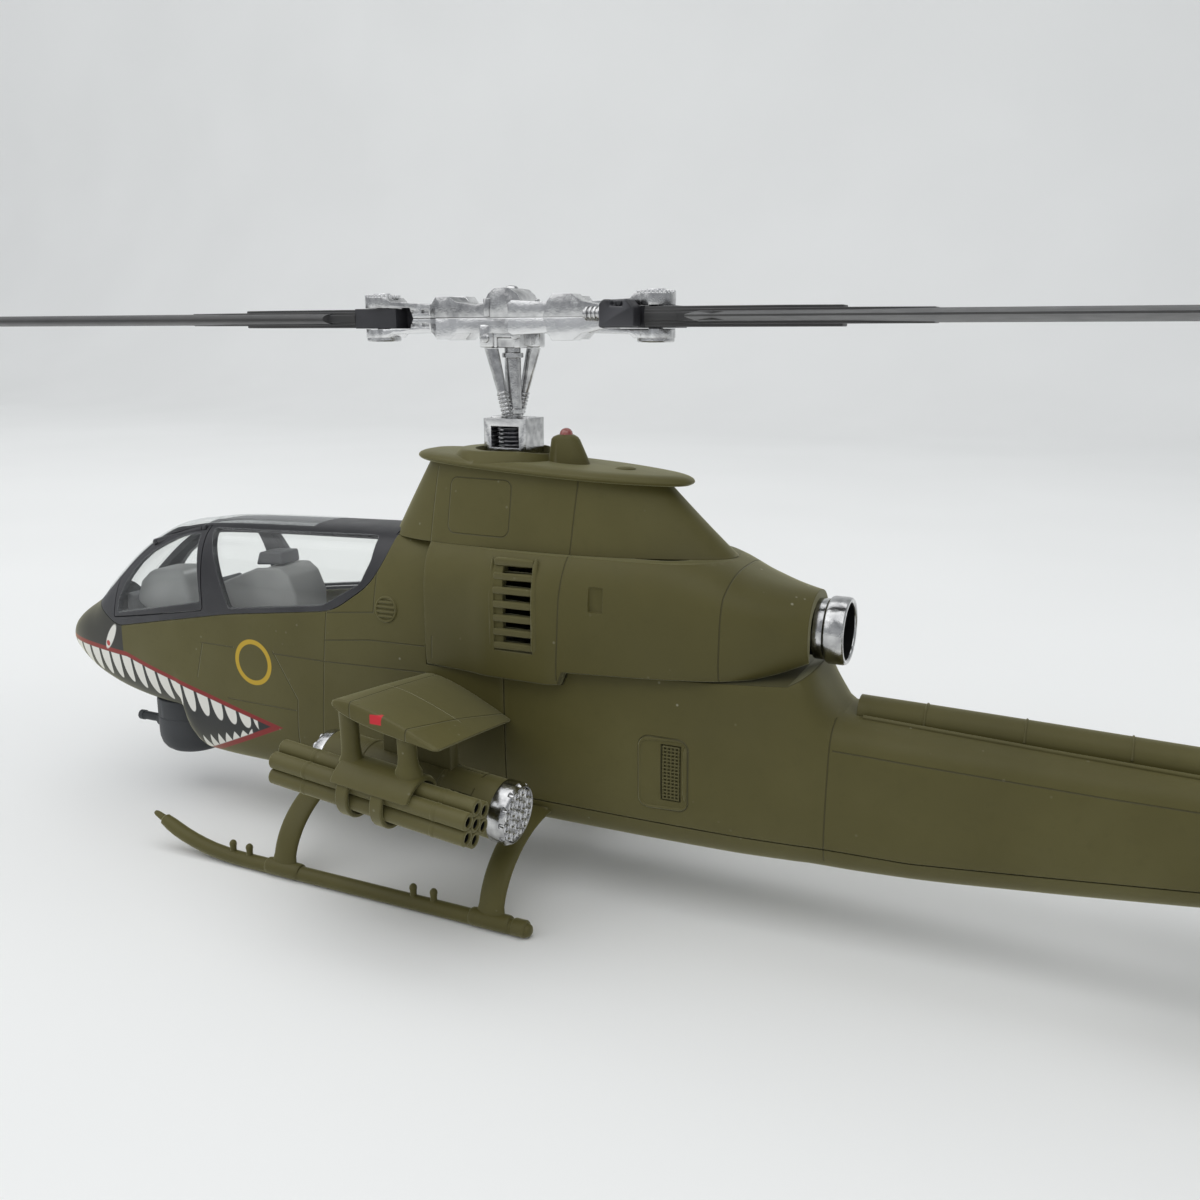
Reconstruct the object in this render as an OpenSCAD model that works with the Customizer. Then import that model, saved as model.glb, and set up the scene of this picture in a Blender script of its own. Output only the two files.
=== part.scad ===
/* [Rotors] */
// Main rotor diameter
rotor_d = 279.4; // [240:0.2:300]
// Chord of a main rotor blade
blade_chord = 14.2; // [10:0.2:16]
// Thickness of a main rotor blade
blade_t = 1.7; // [1.2:0.1:2.2]
// Height of the main rotor's blade plane above the ground
hub_z = 81.3; // [80:0.1:84]
// Tail rotor diameter
tail_rotor_d = 54; // [40:1:56]
// Tilt of the parked tail rotor from vertical
tail_rotor_tilt = 18; // [0:1:25]

/* [Landing gear] */
// Distance between the centrelines of the skid tubes
skid_track = 44.6; // [40:0.2:48]
// Diameter of a skid tube
skid_d = 2.2; // [1.8:0.1:2.6]

/* [Wings and stores] */
// Span over the stub wing tips
wing_span = 65.6; // [62:0.2:70]
// Nose-up set of the stub wings
wing_incidence = 14; // [8:1:18]
// Diameter of the outer seven-tube pod
pod7_d = 6.6; // [6:0.1:7]
// Diameter of the inner nineteen-tube pod
pod19_d = 8.6; // [8.4:0.1:9.4]

/* [Castings] */
// Wall of the body castings
wall = 1.3; // [1:0.1:1.6]
// Thickness of the canopy moulding
canopy_t = 0.9; // [0.7:0.1:1.1]
// Gap between separate castings along a joint line
seam = 0.2; // [0.1:0.05:0.3]

/* [Fits] */
// Radial clearance of a turning fit
fit = 0.05; // [0.03:0.01:0.1]
// Radius of the turret pivot
turret_pivot_r = 2; // [1.5:0.1:2.5]
// Radius of the main rotor mast
mast_r = 1.15; // [1:0.05:1.4]
// Radius of the tail rotor shaft
tail_shaft_r = 0.9; // [0.7:0.05:1]
// Radius of a door hinge peg
door_peg_r = 0.32; // [0.28:0.02:0.36]

/* [Hidden] */

olive = "#5b5334";
dark = "#2b2b2e";
silver = "#c9c9c9";
clear = [0.85, 0.9, 0.92, 0.45];

eps = 0.01;
rotor_r = rotor_d / 2;
// Stations run aft from the mast; the row's origin is the middle of the overall length.
tail_hub_x = 169.7;
tail_hub_z = 60;
tail_tip_x = tail_hub_x + tail_rotor_d / 2 * sin(tail_rotor_tilt) + 2.4;
fin_aft_x = 181;
mast_x = (rotor_r - max(tail_tip_x, fin_aft_x)) / 2;

module at_mast() { translate([mast_x, 0, 0]) children(); }
module side(points, y0, y1) {
    translate([0, y1, 0]) rotate([90, 0, 0]) linear_extrude(height = y1 - y0) polygon(points);
}
module on_both() { children(); mirror([0, 1, 0]) children(); }
module x_rod(x0, x1, r, y, z) {
    translate([x0, y, z]) rotate([0, 90, 0]) cylinder(h = x1 - x0, r = r, $fn = 48);
}
module y_rod(y0, y1, r, x, z) {
    translate([x, y0, z]) rotate([-90, 0, 0]) cylinder(h = y1 - y0, r = r, $fn = 48);
}
module rod(p, q, r, fn = 32) {
    d = q - p;
    translate(p) rotate([0, acos(d[2] / norm(d)), atan2(d[1], d[0])]) cylinder(h = norm(d), r = r, $fn = fn);
}

// ---- Lofted bodies. A row is [x, half width, bottom, widest height, top, lower and upper roundness].
function lerp(a, b, t) = a + (b - a) * t;
function row_at(rows, x) =
    let (i = max([0, for (k = [0 : len(rows) - 2]) if (rows[k][0] <= x) k]),
         t = (x - rows[i][0]) / (rows[i + 1][0] - rows[i][0]))
    lerp(rows[i], rows[i + 1], t);
function power(v, n) = sign(v) * pow(abs(v), n);
function ring(row, inset, sides) = [
    for (i = [0 : sides - 1])
    let (a = 360 * (i + 0.5) / sides, c = cos(a), s = sin(a), n = s < 0 ? row[5] : row[6],
         w = max(row[1] - inset, 0.05),
         h = s < 0 ? max(row[3] - row[2] - inset, 0.05) : max(row[4] - row[3] - inset, 0.05))
    [row[0], w * power(c, 2 / n), row[3] + h * power(s, 2 / n)]];
module loft(rows, inset = 0, sides = 28) {
    n = len(rows);
    points = [for (r = rows) each ring(r, inset, sides)];
    faces = concat(
        [[for (i = [0 : sides - 1]) i]],
        [for (k = [0 : n - 2], i = [0 : sides - 1])
            let (j = (i + 1) % sides, a = k * sides)
            each [[a + i, a + sides + i, a + j], [a + j, a + sides + i, a + sides + j]]],
        [[for (i = [sides - 1 : -1 : 0]) (n - 1) * sides + i]]);
    polyhedron(points = points, faces = faces, convexity = 6);
}

// Body and canopy in one run of sections, from the nose to the engine deck.
BODY = [
    [-92.5, 0.5, 24.9, 25.7, 26.5, 2.0, 2.0],
    [-92.0, 1.9, 23.7, 25.7, 27.7, 2.0, 2.0],
    [-90.8, 3.2, 22.6, 25.7, 29.1, 2.0, 2.0],
    [-88.6, 4.4, 21.3, 25.7, 30.7, 2.1, 2.0],
    [-86.0, 5.4, 20.0, 25.8, 32.2, 2.3, 2.0],
    [-83.8, 6.0, 19.1, 25.9, 33.6, 2.5, 2.0],
    [-80.0, 6.8, 18.0, 26.0, 37.2, 2.7, 2.1],
    [-76.0, 7.5, 17.2, 26.2, 40.7, 2.9, 2.2],
    [-71.0, 8.2, 16.5, 26.5, 44.2, 3.0, 2.5],
    [-66.0, 8.8, 16.0, 26.8, 46.9, 3.0, 2.8],
    [-61.0, 9.2, 15.6, 27.2, 48.7, 3.0, 3.1],
    [-59.8, 9.3, 10.2, 27.4, 48.8, 3.0, 3.1],
    [-58.0, 9.4, 9.0, 27.6, 49.1, 3.2, 3.2],
    [-54.0, 9.5, 8.9, 27.8, 49.6, 3.4, 3.3],
    [-46.0, 9.8, 9.1, 28.0, 50.0, 3.8, 3.3],
    [-34.0, 10.0, 9.2, 28.0, 50.4, 4.0, 3.3],
    [-20.0, 10.0, 9.2, 28.0, 50.8, 4.2, 3.3],
    [-9.0, 10.0, 9.2, 28.0, 51.0, 4.2, 3.3],
    [3.5, 10.0, 9.2, 28.0, 51.0, 4.2, 3.3]];
// Engine bay and tail boom.
BOOM = [
    [3.1, 10.0, 9.2, 28.0, 36.0, 4.2, 5.0],
    [20.0, 10.0, 9.3, 28.0, 38.0, 4.2, 5.0],
    [36.0, 9.6, 9.5, 27.0, 38.6, 4.2, 4.5],
    [45.0, 8.9, 9.7, 26.0, 38.0, 4.0, 4.0],
    [47.0, 8.6, 9.8, 25.5, 35.0, 4.0, 3.5],
    [49.9, 8.25, 9.8, 25.0, 31.2, 4.0, 3.2],
    [58.0, 7.9, 10.0, 24.5, 30.8, 3.8, 3.2],
    [75.0, 7.2, 11.4, 24.0, 30.1, 3.6, 3.2],
    [92.0, 6.4, 13.1, 24.0, 29.5, 3.4, 3.2],
    [112.0, 5.4, 15.3, 23.8, 28.9, 3.2, 3.1],
    [132.0, 4.3, 17.7, 23.8, 28.4, 3.0, 3.0],
    [149.0, 3.2, 20.0, 24.0, 28.0, 2.8, 2.8],
    [154.0, 2.2, 21.5, 24.2, 27.4, 2.4, 2.4]];
// Engine cowling.
COWL = [
    [-9.6, 10.2, 30.0, 40.0, 52.0, 8, 3.2],
    [-2.0, 11.2, 30.0, 40.5, 52.0, 8, 3.2],
    [2.0, 12.0, 30.0, 41.0, 52.2, 8, 3.2],
    [10.5, 12.1, 30.0, 41.0, 52.4, 8, 3.2],
    [13.0, 11.8, 31.0, 41.2, 52.5, 7, 3.2],
    [25.0, 11.4, 32.0, 41.6, 52.4, 6, 3.0],
    [33.0, 10.6, 33.0, 41.8, 50.3, 5, 2.8],
    [38.0, 9.3, 34.0, 41.8, 48.2, 4, 2.6],
    [42.5, 7.2, 35.2, 41.6, 47.0, 3, 2.3],
    [46.0, 5.2, 36.6, 41.5, 46.4, 2.2, 2.1]];

deck_z = 32.2;        // joint between the front of the cowl and the fuselage
deck_step_x = 12.4;   // the joint steps up here
front_seam_x = -9.7;  // joint between the forward casting and the cowl
mid_seam_x = 3.2;     // joint between the two fuselage castings
fairing_z = 50;       // joint between the mast fairing and what it stands on
exhaust_z = 41.4;
exhaust_x = 45.4;
belly_z0 = 13.8;      // top edge of the belly plate at its front and back
belly_z1 = 20.6;

// Side view of everything under the canopy's lower edge.
SILL = [[-84.4, 33.8], [-76.2, 30.6], [-74.1, 30.2], [-63.7, 32.4], [-47.5, 35.5],
    [-26.6, 38.2], [-19.7, 42.9], [-17.1, 47.9]];
function side_forward() = concat([[-95, 5], [-95, 33.8]], SILL,
    [[-17.1, fairing_z], [front_seam_x - seam / 2, fairing_z], [front_seam_x - seam / 2, deck_z - seam / 2],
     [mid_seam_x - seam / 2, deck_z - seam / 2], [mid_seam_x - seam / 2, 5]]);
module cockpit_opening() {
    intersection() {
        loft([for (r = BODY) if (r[0] > -90 && r[0] < 1) r], wall, 24);
        side([[-87, 5], [-2, 5], [-2, 30], [-12, 30], [-12, 47], [-19, 47], [-19, 60], [-87, 60]], -20, 20);
    }
}
turret_x = -66.3;
turret_top_z = 17.4;
front_leg_x = -28;
rear_leg_x = 7.6;
leg_bar_z = 12;      // height at which a cross tube passes through the body
leg_bar_w = 3.6;
leg_bar_h = 1.4;
spar_x = -3;
spar_z = 27.7;
spar_r = 0.7;
module leg_tunnel(x) {
    translate([x - leg_bar_w / 2, -12, leg_bar_z - leg_bar_h / 2]) cube([leg_bar_w, 24, leg_bar_h]);
}
module forward_fuselage() {
    color(olive) at_mast() difference() {
        union() {
            difference() {
                intersection() {
                    loft(BODY);
                    side(side_forward(), -20, 20);
                }
                cockpit_opening();
                // pocket in which the turret turns
                translate([turret_x, 0, 5]) cylinder(h = turret_top_z - 5, r = 7, $fn = 96);
            }
            intersection() {
                loft([for (r = BODY) if (r[0] < -50) r], 0.4);
                translate([turret_x, 0, turret_top_z]) cylinder(h = 1.6, r = 9, $fn = 96);
            }
        }
        translate([turret_x, 0, 10]) cylinder(h = 12, r = turret_pivot_r + fit, $fn = 64);
        leg_tunnel(front_leg_x);
        on_both() y_rod(6, 14, spar_r, spar_x, spar_z);
    }
}

module boom_outline() { side([[mid_seam_x + seam / 2, 5], [mid_seam_x + seam / 2, deck_z - seam / 2],
    [deck_step_x, deck_z - seam / 2], [deck_step_x + 0.8, 34.0], [43.7, 35.4], [46.0, 36.7],
    [47.8, 33.8], [49.8, 31.3], [51, 45], [tail_x0 - 0.05, 45], [tail_x0 - 0.05, 5]], -20, 20); }
module belly_side(lift) {
    side([[mid_seam_x - 1, 5], [mid_seam_x - 1, belly_z0 + lift], [60, belly_z0 + lift],
        [tail_x0 - 0.05, belly_z1 + lift], [tail_x0 - 0.05, 5]], -20, 20);
}
tail_x0 = 140;        // joint between the boom and the fin casting
elevator_x = 106.5;
elevator_z = 24.6;
boom_top = [[51.5, 30.6], [75, 29.6], [92, 29.0], [112, 28.4], [140, 27.7]];
module cover_channel(lift) {
    side(concat(boom_top + [for (p = boom_top) [0, lift]], [[tail_x0, 40], [51.5, 40]]), -2.7, 2.7);
}
module aft_fuselage() {
    color(olive) at_mast() difference() {
        intersection() {
            loft(BOOM);
            boom_outline();
        }
        intersection() {
            loft([for (r = BOOM) if (r[0] < 150) r], wall, 20);
            side([[mid_seam_x + 2, 5], [mid_seam_x + 2, 30.6], [44, 33], [48, 28.6], [128, 26], [128, 5]],
                -20, 20);
        }
        belly_side(seam / 2);
        cover_channel(0);
        leg_tunnel(rear_leg_x);
        y_rod(-9, 9, elevator_spar_r, elevator_x, elevator_z);
    }
}
module belly_plate() {
    color(olive) at_mast() difference() {
        intersection() {
            loft(BOOM);
            belly_side(-seam / 2);
            side([[mid_seam_x + seam / 2, 5], [mid_seam_x + seam / 2, 40], [160, 40], [160, 5]], -20, 20);
        }
        intersection() {
            loft([for (r = BOOM) if (r[0] < 140) r], wall, 20);
            side([[mid_seam_x + 2, 5], [mid_seam_x + 2, 30], [110, 30], [110, 5]], -20, 20);
        }
        leg_tunnel(rear_leg_x);
        for (x = screw_x) translate([x, 0, row_at(BOOM, x)[2]]) {
            translate([0, 0, -1]) cylinder(h = 12, r = screw_r, $fn = 32);
            translate([0, 0, -1]) cylinder(h = 1.6, r = screw_head_r, $fn = 32);
        }
    }
}
screw_x = [30, 62];
screw_r = 0.7;
screw_head_r = 1.5;
module case_screws() {
    color("#8d8d8d") at_mast()
        for (x = screw_x) translate([x, 0, row_at(BOOM, x)[2] - 0.1]) difference() {
            union() {
                cylinder(h = 0.7, r = screw_head_r, $fn = 32);
                cylinder(h = 5, r = screw_r, $fn = 32);
            }
            for (turn = [0, 90]) rotate(turn) translate([-1.2, -0.2, -eps]) cube([2.4, 0.4, 0.4]);
        }
}

cowl_side = [[front_seam_x + seam / 2, deck_z + seam / 2], [deck_step_x + 0.3, deck_z + seam / 2],
    [deck_step_x + 1.1, 34.3], [43.7, 35.7], [exhaust_x, 36.6], [exhaust_x, fairing_z],
    [front_seam_x + seam / 2, fairing_z]];
louvre_x0 = 3.1;      // the cooling louvres, front and back edge
louvre_x1 = 8.8;
louvres = 6;
louvre_z = 37.6;      // lowest louvre, and the step from one to the next
louvre_pitch = 1.95;
louvre_h = 0.9;
module engine_cowl() {
    color(olive) at_mast() difference() {
        intersection() {
            loft(COWL);
            side(cowl_side, -20, 20);
        }
        loft([for (r = COWL) [r[0] < -9 ? -8 : r[0], r[1], r[2] - 6, r[3], r[4], r[5], r[6]]], wall, 24);
        for (k = [0 : louvres - 1])
            translate([louvre_x0, -15, louvre_z + louvre_pitch * k])
                cube([louvre_x1 - louvre_x0, 30, louvre_h]);
        on_both() translate([17, 11.1, 43]) cube([2.2, 4, 4]);
    }
}

// Mast fairing: rounded outlines stacked from the roof to a top that slopes down aft.
fairing_front = [-19.4, -13.0];
fairing_back = [34, 24];
cap_back = 26.2;
fairing_half = [8.6, 6.7];
function fairing_top(x) = 60.6 - 0.055 * x;
function plan_ring(front, back, half, z0, z1, t, sides) = [
    for (i = [0 : sides - 1])
    let (a = -360 * (i + 0.5) / sides, cx = (front + back) / 2, l = (back - front) / 2,
         u = power(cos(a), 2 / 2.8), x = cx + l * u,
         y = half * power(sin(a), 2 / 2.8) * (1 - 0.42 * pow(max(u, 0), 2)))
    [x, y, lerp(z0, z1 - 0.055 * x, t)]];
module stack(rings) {
    n = len(rings);
    sides = len(rings[0]);
    faces = concat(
        [[for (i = [sides - 1 : -1 : 0]) i]],
        [for (k = [0 : n - 2], i = [0 : sides - 1])
            let (j = (i + 1) % sides, a = k * sides)
            each [[a + i, a + j, a + sides + i], [a + j, a + sides + j, a + sides + i]]],
        [[for (i = [0 : sides - 1]) (n - 1) * sides + i]]);
    polyhedron(points = [for (r = rings) each r], faces = faces, convexity = 6);
}
module fairing_solid(inset, t0, t1) {
    stack([for (t = [t0, t1])
        plan_ring(lerp(fairing_front[0], fairing_front[1], t) + inset,
            lerp(fairing_back[0], fairing_back[1], t) - inset,
            lerp(fairing_half[0], fairing_half[1], t) - inset, fairing_z, 60.6, t, 36)]);
}
bearing_r = 2.4;
front_lip_x = -17.0;
roof_z = 51;
module mast_fairing() {
    color(olive) at_mast() difference() {
        fairing_solid(0, 0, 1);
        fairing_solid(wall, -0.1, 0.86);
        translate([0, 0, 50]) cylinder(h = 20, r = bearing_r, $fn = 64);
        // its front lip stands just above the canopy's roof
        side([[-30, 40], [-30, roof_z], [front_lip_x, roof_z], [front_lip_x, 40]], -12, 12);
    }
}
collar_x = -1.4;     // the raised collar round the mast's recess
collar_z = 61.15;
recess_r = 5.6;
lamp_x = 8.4;
lamp_r = 0.95;
module fairing_cap() {
    color(olive) at_mast() difference() {
        union() {
            stack([for (k = [[0.5, 0.02], [1.3, 0.45], [1.2, 0.9], [0.3, 1.4]])
                plan_ring(fairing_front[1] - k[0] - 0.6, cap_back + k[0], fairing_half[1] + k[0],
                    0, 60.6 + k[1], 1, 40)]);
            translate([collar_x, 0, collar_z]) rotate_extrude($fn = 96)
                polygon([[0, 0], [7.6, 0], [7.3, 1.0], [6.7, 1.8], [6.3, 2.05], [0, 2.05]]);
            hull() {
                translate([8.85, 0, 60.6]) scale([3.15, 2.1, 1]) cylinder(h = 1, r = 1, $fn = 32);
                translate([8.25, 0, 64]) scale([2.1, 1.5, 1]) cylinder(h = 1, r = 1, $fn = 32);
                translate([lamp_x, 0, 64.6]) cylinder(h = 0.8, r = lamp_r + 0.1, $fn = 32);
            }
        }
        translate([0, 0, 62.0]) cylinder(h = 5, r = recess_r, $fn = 96);
        translate([0, 0, 50]) cylinder(h = 20, r = bearing_r, $fn = 64);
    }
}
module beacon_lens() {
    color("#a01818") at_mast() intersection() {
        translate([lamp_x, 0, 65.4]) sphere(r = lamp_r, $fn = 48);
        translate([5, -5, 65.4]) cube([10, 10, 5]);
    }
}
module mast_bearing() {
    color("#b08d57") at_mast() translate([0, 0, 58.6]) difference() {
        cylinder(h = 3.2, r = bearing_r, $fn = 64);
        translate([0, 0, -1]) cylinder(h = 6, r = mast_r + fit, $fn = 64);
    }
}

COVER = [
    [51.5, 2.4, 28.6, 30.6, 33.0, 2.0, 2.2],
    [62.0, 2.3, 28.0, 30.2, 32.8, 2.0, 2.2],
    [92.0, 2.1, 27.0, 29.4, 32.0, 2.0, 2.2],
    [120.0, 2.0, 26.0, 28.6, 31.2, 2.0, 2.2],
    [156.0, 1.6, 25.0, 27.4, 30.2, 2.0, 2.2]];
module drive_shaft_cover() {
    color(olive) at_mast() intersection() {
        loft(COVER, 0, 20);
        cover_channel(0);
    }
}

// A lifting surface: rows of [span, front x, front z, back x, back z, thickness].
function foil(u) =
    2.6 * (0.2969 * sqrt(u) - 0.126 * u - 0.3516 * pow(u, 2) + 0.2843 * pow(u, 3) - 0.1015 * pow(u, 4));
thickness_k = 1.9;   // makes a surface as thick as its row says
function foil_loop(n) = concat(
    [for (k = [0 : n]) let (u = (1 - cos(180 * k / n)) / 2) [u, foil(u) + 0.03 * u]],
    [for (k = [n - 1 : -1 : 1]) let (u = (1 - cos(180 * k / n)) / 2) [u, -foil(u) - 0.03 * u]]);
function wing_ring(r, n) = [for (k = [2 * n - 1 : -1 : 0])
    let (q = foil_loop(n)[k], x = lerp(r[1], r[3], q[0]), z = lerp(r[2], r[4], q[0]),
         c = norm([r[3] - r[1], r[4] - r[2]]),
         nx = -(r[4] - r[2]) / c, nz = (r[3] - r[1]) / c, h = q[1] * r[5] * thickness_k)
    [x + nx * h, r[0], z + nz * h]];
module panel(rows, n = 8) { stack([for (r = rows) wing_ring(r, n)]); }

FIN = [ // from the foot to the tip: [height, front x, back x, thickness]
    [17.0, 146.0, 156.5, 1.2],
    [21.0, 141.0, 160.0, 2.4],
    [27.0, 138.0, 163.5, 2.8],
    [36.0, 146.5, 168.0, 2.6],
    [50.0, 158.5, 174.5, 2.2],
    [62.0, 168.5, 179.6, 1.9],
    [66.0, 171.8, fin_aft_x, 1.5],
    [66.8, 173.5, fin_aft_x - 1, 0.8]];
module fin_blade() {
    stack([for (r = FIN) [for (q = foil_loop(8)) [lerp(r[1], r[2], q[0]), q[1] * r[3] * thickness_k, r[0]]]]);
}
module tail_fin() {
    color(olive) at_mast() intersection() {
        union() {
            fin_blade();
            loft([for (r = BOOM) if (r[0] > 120) r]);
            intersection() {
                loft([for (r = COVER) if (r[0] > 80) r], 0, 20);
                translate([130, -4, 25]) cube([26, 8, 10]);
            }
        }
        translate([tail_x0 + 0.05, -10, 0]) cube([60, 20, 80]);
    }
}
module tail_gearbox() {
    color(olive) at_mast() difference() {
        union() {
            y_rod(-3.4, -1.03, 2.6, tail_hub_x, tail_hub_z);
            y_rod(-4.6, -3.4, 1.9, tail_hub_x, tail_hub_z);
        }
        y_rod(-6, 0, tail_shaft_r + fit, tail_hub_x, tail_hub_z);
    }
}
elevator_root = 6.3;
elevator_tip = 22;
elevator_spar_r = 0.8;
module elevator() {
    panel([for (r = [[elevator_root, 100.4, 112.8, 1.7], [elevator_tip - 0.6, 101.8, 111.6, 1.3],
            [elevator_tip, 103, 110.8, 0.7]])
        [r[0], r[1], elevator_z, r[2], elevator_z, r[3]]]);
    y_rod(4.2, elevator_root + 1, elevator_spar_r, elevator_x, elevator_z);
}
module elevator_right() { color(olive) at_mast() elevator(); }
module elevator_left() { color(olive) at_mast() mirror([0, 1, 0]) elevator(); }
module tail_skid() {
    color(olive) at_mast() difference() {
        union() {
            rod([147, 0, 19.6], [155.6, 0, 14.2], 0.55);
            translate([155.6, 0, 14.2]) sphere(r = 0.9, $fn = 32);
        }
        fin_blade();
    }
}
exhaust_r = 3.6;
module exhaust_ring() {
    color(silver) at_mast() translate([exhaust_x, 0, exhaust_z]) rotate([0, 90, 0]) rotate_extrude($fn = 128)
        polygon([[exhaust_r, 0], [4.0, 0], [4.0, 1.5], [4.4, 1.7], [4.5, 2.0], [4.5, 3.8], [4.3, 4.2],
            [3.9, 4.2], [3.7, 3.8], [3.7, 2.0], [exhaust_r, 2.0]]);
}
module exhaust_pipe() {
    color(dark) at_mast() difference() {
        x_rod(30, exhaust_x + 1.9, exhaust_r, 0, exhaust_z);
        x_rod(31, 60, exhaust_r - 0.4, 0, exhaust_z);
    }
}

// ---- Canopy
module canopy_shell() {
    rows = [for (r = BODY) if (r[0] > -87 && r[0] < 0) r];
    difference() {
        loft(rows);
        loft(rows, canopy_t);
    }
}
module canopy_zone(lift) {
    side(concat([for (p = SILL) p + [0, lift]], [[-17.5, 49.95], [-17.5, 60], [-84.4, 60]]), -20, 20);
}
strip_y = 4.3;       // half width of the clear strip over the crew
strip_x0 = -81.2;
strip_x1 = -33.5;    // the roof is opaque behind this
module clear_strip() {
    translate([strip_x0, -strip_y, 20]) cube([strip_x1 - strip_x0, 2 * strip_y, 40]);
}
rail_y = 4.9;        // outer face of the roof rails
door_y = 5.06;       // inner edge of a door
front_pane = [[-74.7, 32.5], [-53.6, 36.9], [-55.0, 47.6], [-57, 47.3], [-60, 46.5], [-64, 44.8],
    [-67.0, 43.3], [-69.9, 41.2], [-72.0, 39.1], [-73.7, 36.8], [-74.7, 34.6]];
rear_pane = [[-47.2, 36.7], [-27.5, 39.2], [-20.6, 44.4], [-19.7, 48.3], [-51.7, 47.5]];
rear_pane_left = [[-47.4, 36.5], [-28.4, 39.0], [-21.6, 42.9], [-20.1, 46.4], [-20.1, 49.7],
    [-52.7, 48.5]];
front_door = [[-76.0, 31.4], [-53.0, 35.5], [-54.2, 60], [-66.5, 60], [-76.0, 38.5]];
rear_door = [[-48.6, 35.9], [-26.8, 38.7], [-19.2, 43.9], [-18.4, 46.0], [-18.4, 60], [-53.2, 60],
    [-53.2, 48.5]];
module side_grown(points, grow, y0, y1) {
    translate([0, y1, 0]) rotate([90, 0, 0]) linear_extrude(height = y1 - y0)
        offset(delta = grow) polygon(points);
}
front_hinge = [[-66.6, 0, 45.1], [-54.6, 0, 48.4]];
rear_hinge = [[-51.6, 0, 48.65], [-19.2, 0, 49.6]];
hinge_y = 5.25;
hinge_r = 0.52;
hinge_gap = 0.12;    // groove round a hinge barrel
module hinge_span(line, cut0, cut1, r) {
    d = (line[1] - line[0]) / norm(line[1] - line[0]);
    rod(line[0] + d * cut0, line[1] - d * cut1, r, 24);
}
lug = 0.9;           // length of a hinge lug on the roof rail
module hinge_barrel(line) {
    translate([0, hinge_y, 0]) {
        hinge_span(line, lug + 0.1, lug + 0.1, hinge_r);
        hinge_span(line, 0.1, 0.1, door_peg_r);
    }
    x0 = line[0][0] + lug + 0.1;
    x1 = line[1][0] - lug - 0.1;
    slope = (line[1][2] - line[0][2]) / (line[1][0] - line[0][0]);
    z0 = line[0][2] + slope * (x0 - line[0][0]);
    z1 = line[0][2] + slope * (x1 - line[0][0]);
    side([[x0, z0 - 1.6], [x1, z1 - 1.6], [x1, z1], [x0, z0]], door_y, hinge_y + 0.35);
}
module hinge_lugs(line) {
    for (end = [0, 1]) translate([line[end][0] - end * lug, rail_y - 0.5, line[end][2] - 0.5])
        cube([lug, 0.5, 0.9]);
    translate([0, hinge_y, 0]) difference() {
        hinge_span(line, 0, 0, hinge_r);
        hinge_span(line, lug, lug, hinge_r + 1);
        hinge_span(line, -1, -1, door_peg_r + fit);
    }
}
module door_frame(outline, opening, line) {
    difference() {
        union() {
            difference() {
                intersection() {
                    canopy_shell();
                    side_grown(outline, -seam, door_y, 20);
                }
                translate([0, hinge_y, 0]) hinge_span(line, -0.2, -0.2, hinge_r + hinge_gap);
            }
            hinge_barrel(line);
        }
        side(opening, 0, 20);
    }
}
module door_glass(opening) {
    intersection() {
        canopy_shell();
        side(opening, door_y, 20);
    }
}
module canopy_frame() {
    color(dark) at_mast() {
        difference() {
            intersection() {
                canopy_shell();
                canopy_zone(0.15);
            }
            clear_strip();
            mirror([0, 1, 0]) side(front_door, rail_y, 20);
            side(rear_door, rail_y, 20);
            side(front_pane, rail_y, 20);
            mirror([0, 1, 0]) side(rear_pane_left, rail_y, 20);
            mirror([0, 1, 0]) translate([0, hinge_y, 0]) hinge_span(front_hinge, 0, 0, hinge_r + hinge_gap);
            translate([0, hinge_y, 0]) hinge_span(rear_hinge, 0, 0, hinge_r + hinge_gap);
        }
        mirror([0, 1, 0]) hinge_lugs(front_hinge);
        hinge_lugs(rear_hinge);
    }
}
module windshield() {
    color(clear) at_mast() intersection() {
        canopy_shell();
        canopy_zone(0.15);
        clear_strip();
    }
}
module front_window_right() {
    color(clear) at_mast() intersection() {
        canopy_shell();
        side(front_pane, rail_y, 20);
    }
}
module rear_window_left() {
    color(clear) at_mast() intersection() {
        canopy_shell();
        mirror([0, 1, 0]) side(rear_pane_left, rail_y, 20);
    }
}
module gunner_door_frame() {
    color(dark) at_mast() mirror([0, 1, 0]) door_frame(front_door, front_pane, front_hinge);
}
module gunner_door_glass() { color(clear) at_mast() mirror([0, 1, 0]) door_glass(front_pane); }
module pilot_door_frame() { color(dark) at_mast() door_frame(rear_door, rear_pane, rear_hinge); }
module pilot_door_glass() { color(clear) at_mast() door_glass(rear_pane); }

// ---- Cockpit
tub_plan = [[-78, 4.2], [-71, 5.2], [-60, 6.3], [-46, 7.2], [-20, 7.6]];
module cockpit_tub() {
    color("#55585a") at_mast() difference() {
        translate([0, 0, 21]) linear_extrude(height = 11)
            polygon(concat(tub_plan,
                [for (i = [len(tub_plan) - 1 : -1 : 0]) [tub_plan[i][0], -tub_plan[i][1]]]));
        translate([-69, -4, 23.5]) cube([9, 8, 10]);
        translate([-56, -5, 23.5]) cube([28, 10, 10]);
        side([[-90, 29.2], [-72, 29.2], [-66, 31.8], [-66, 40], [-90, 40]], -20, 20);
    }
}
module gunner_seat() {
    color("#8c9092") at_mast()
        side([[-68.9, 23.5], [-60.1, 23.5], [-60.1, 29], [-62.6, 38.8], [-64.2, 40.2], [-70.6, 39.6],
            [-73.2, 37.4], [-74.6, 33.6], [-72, 32], [-68.9, 32]], -3.4, 3.4);
}
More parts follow.
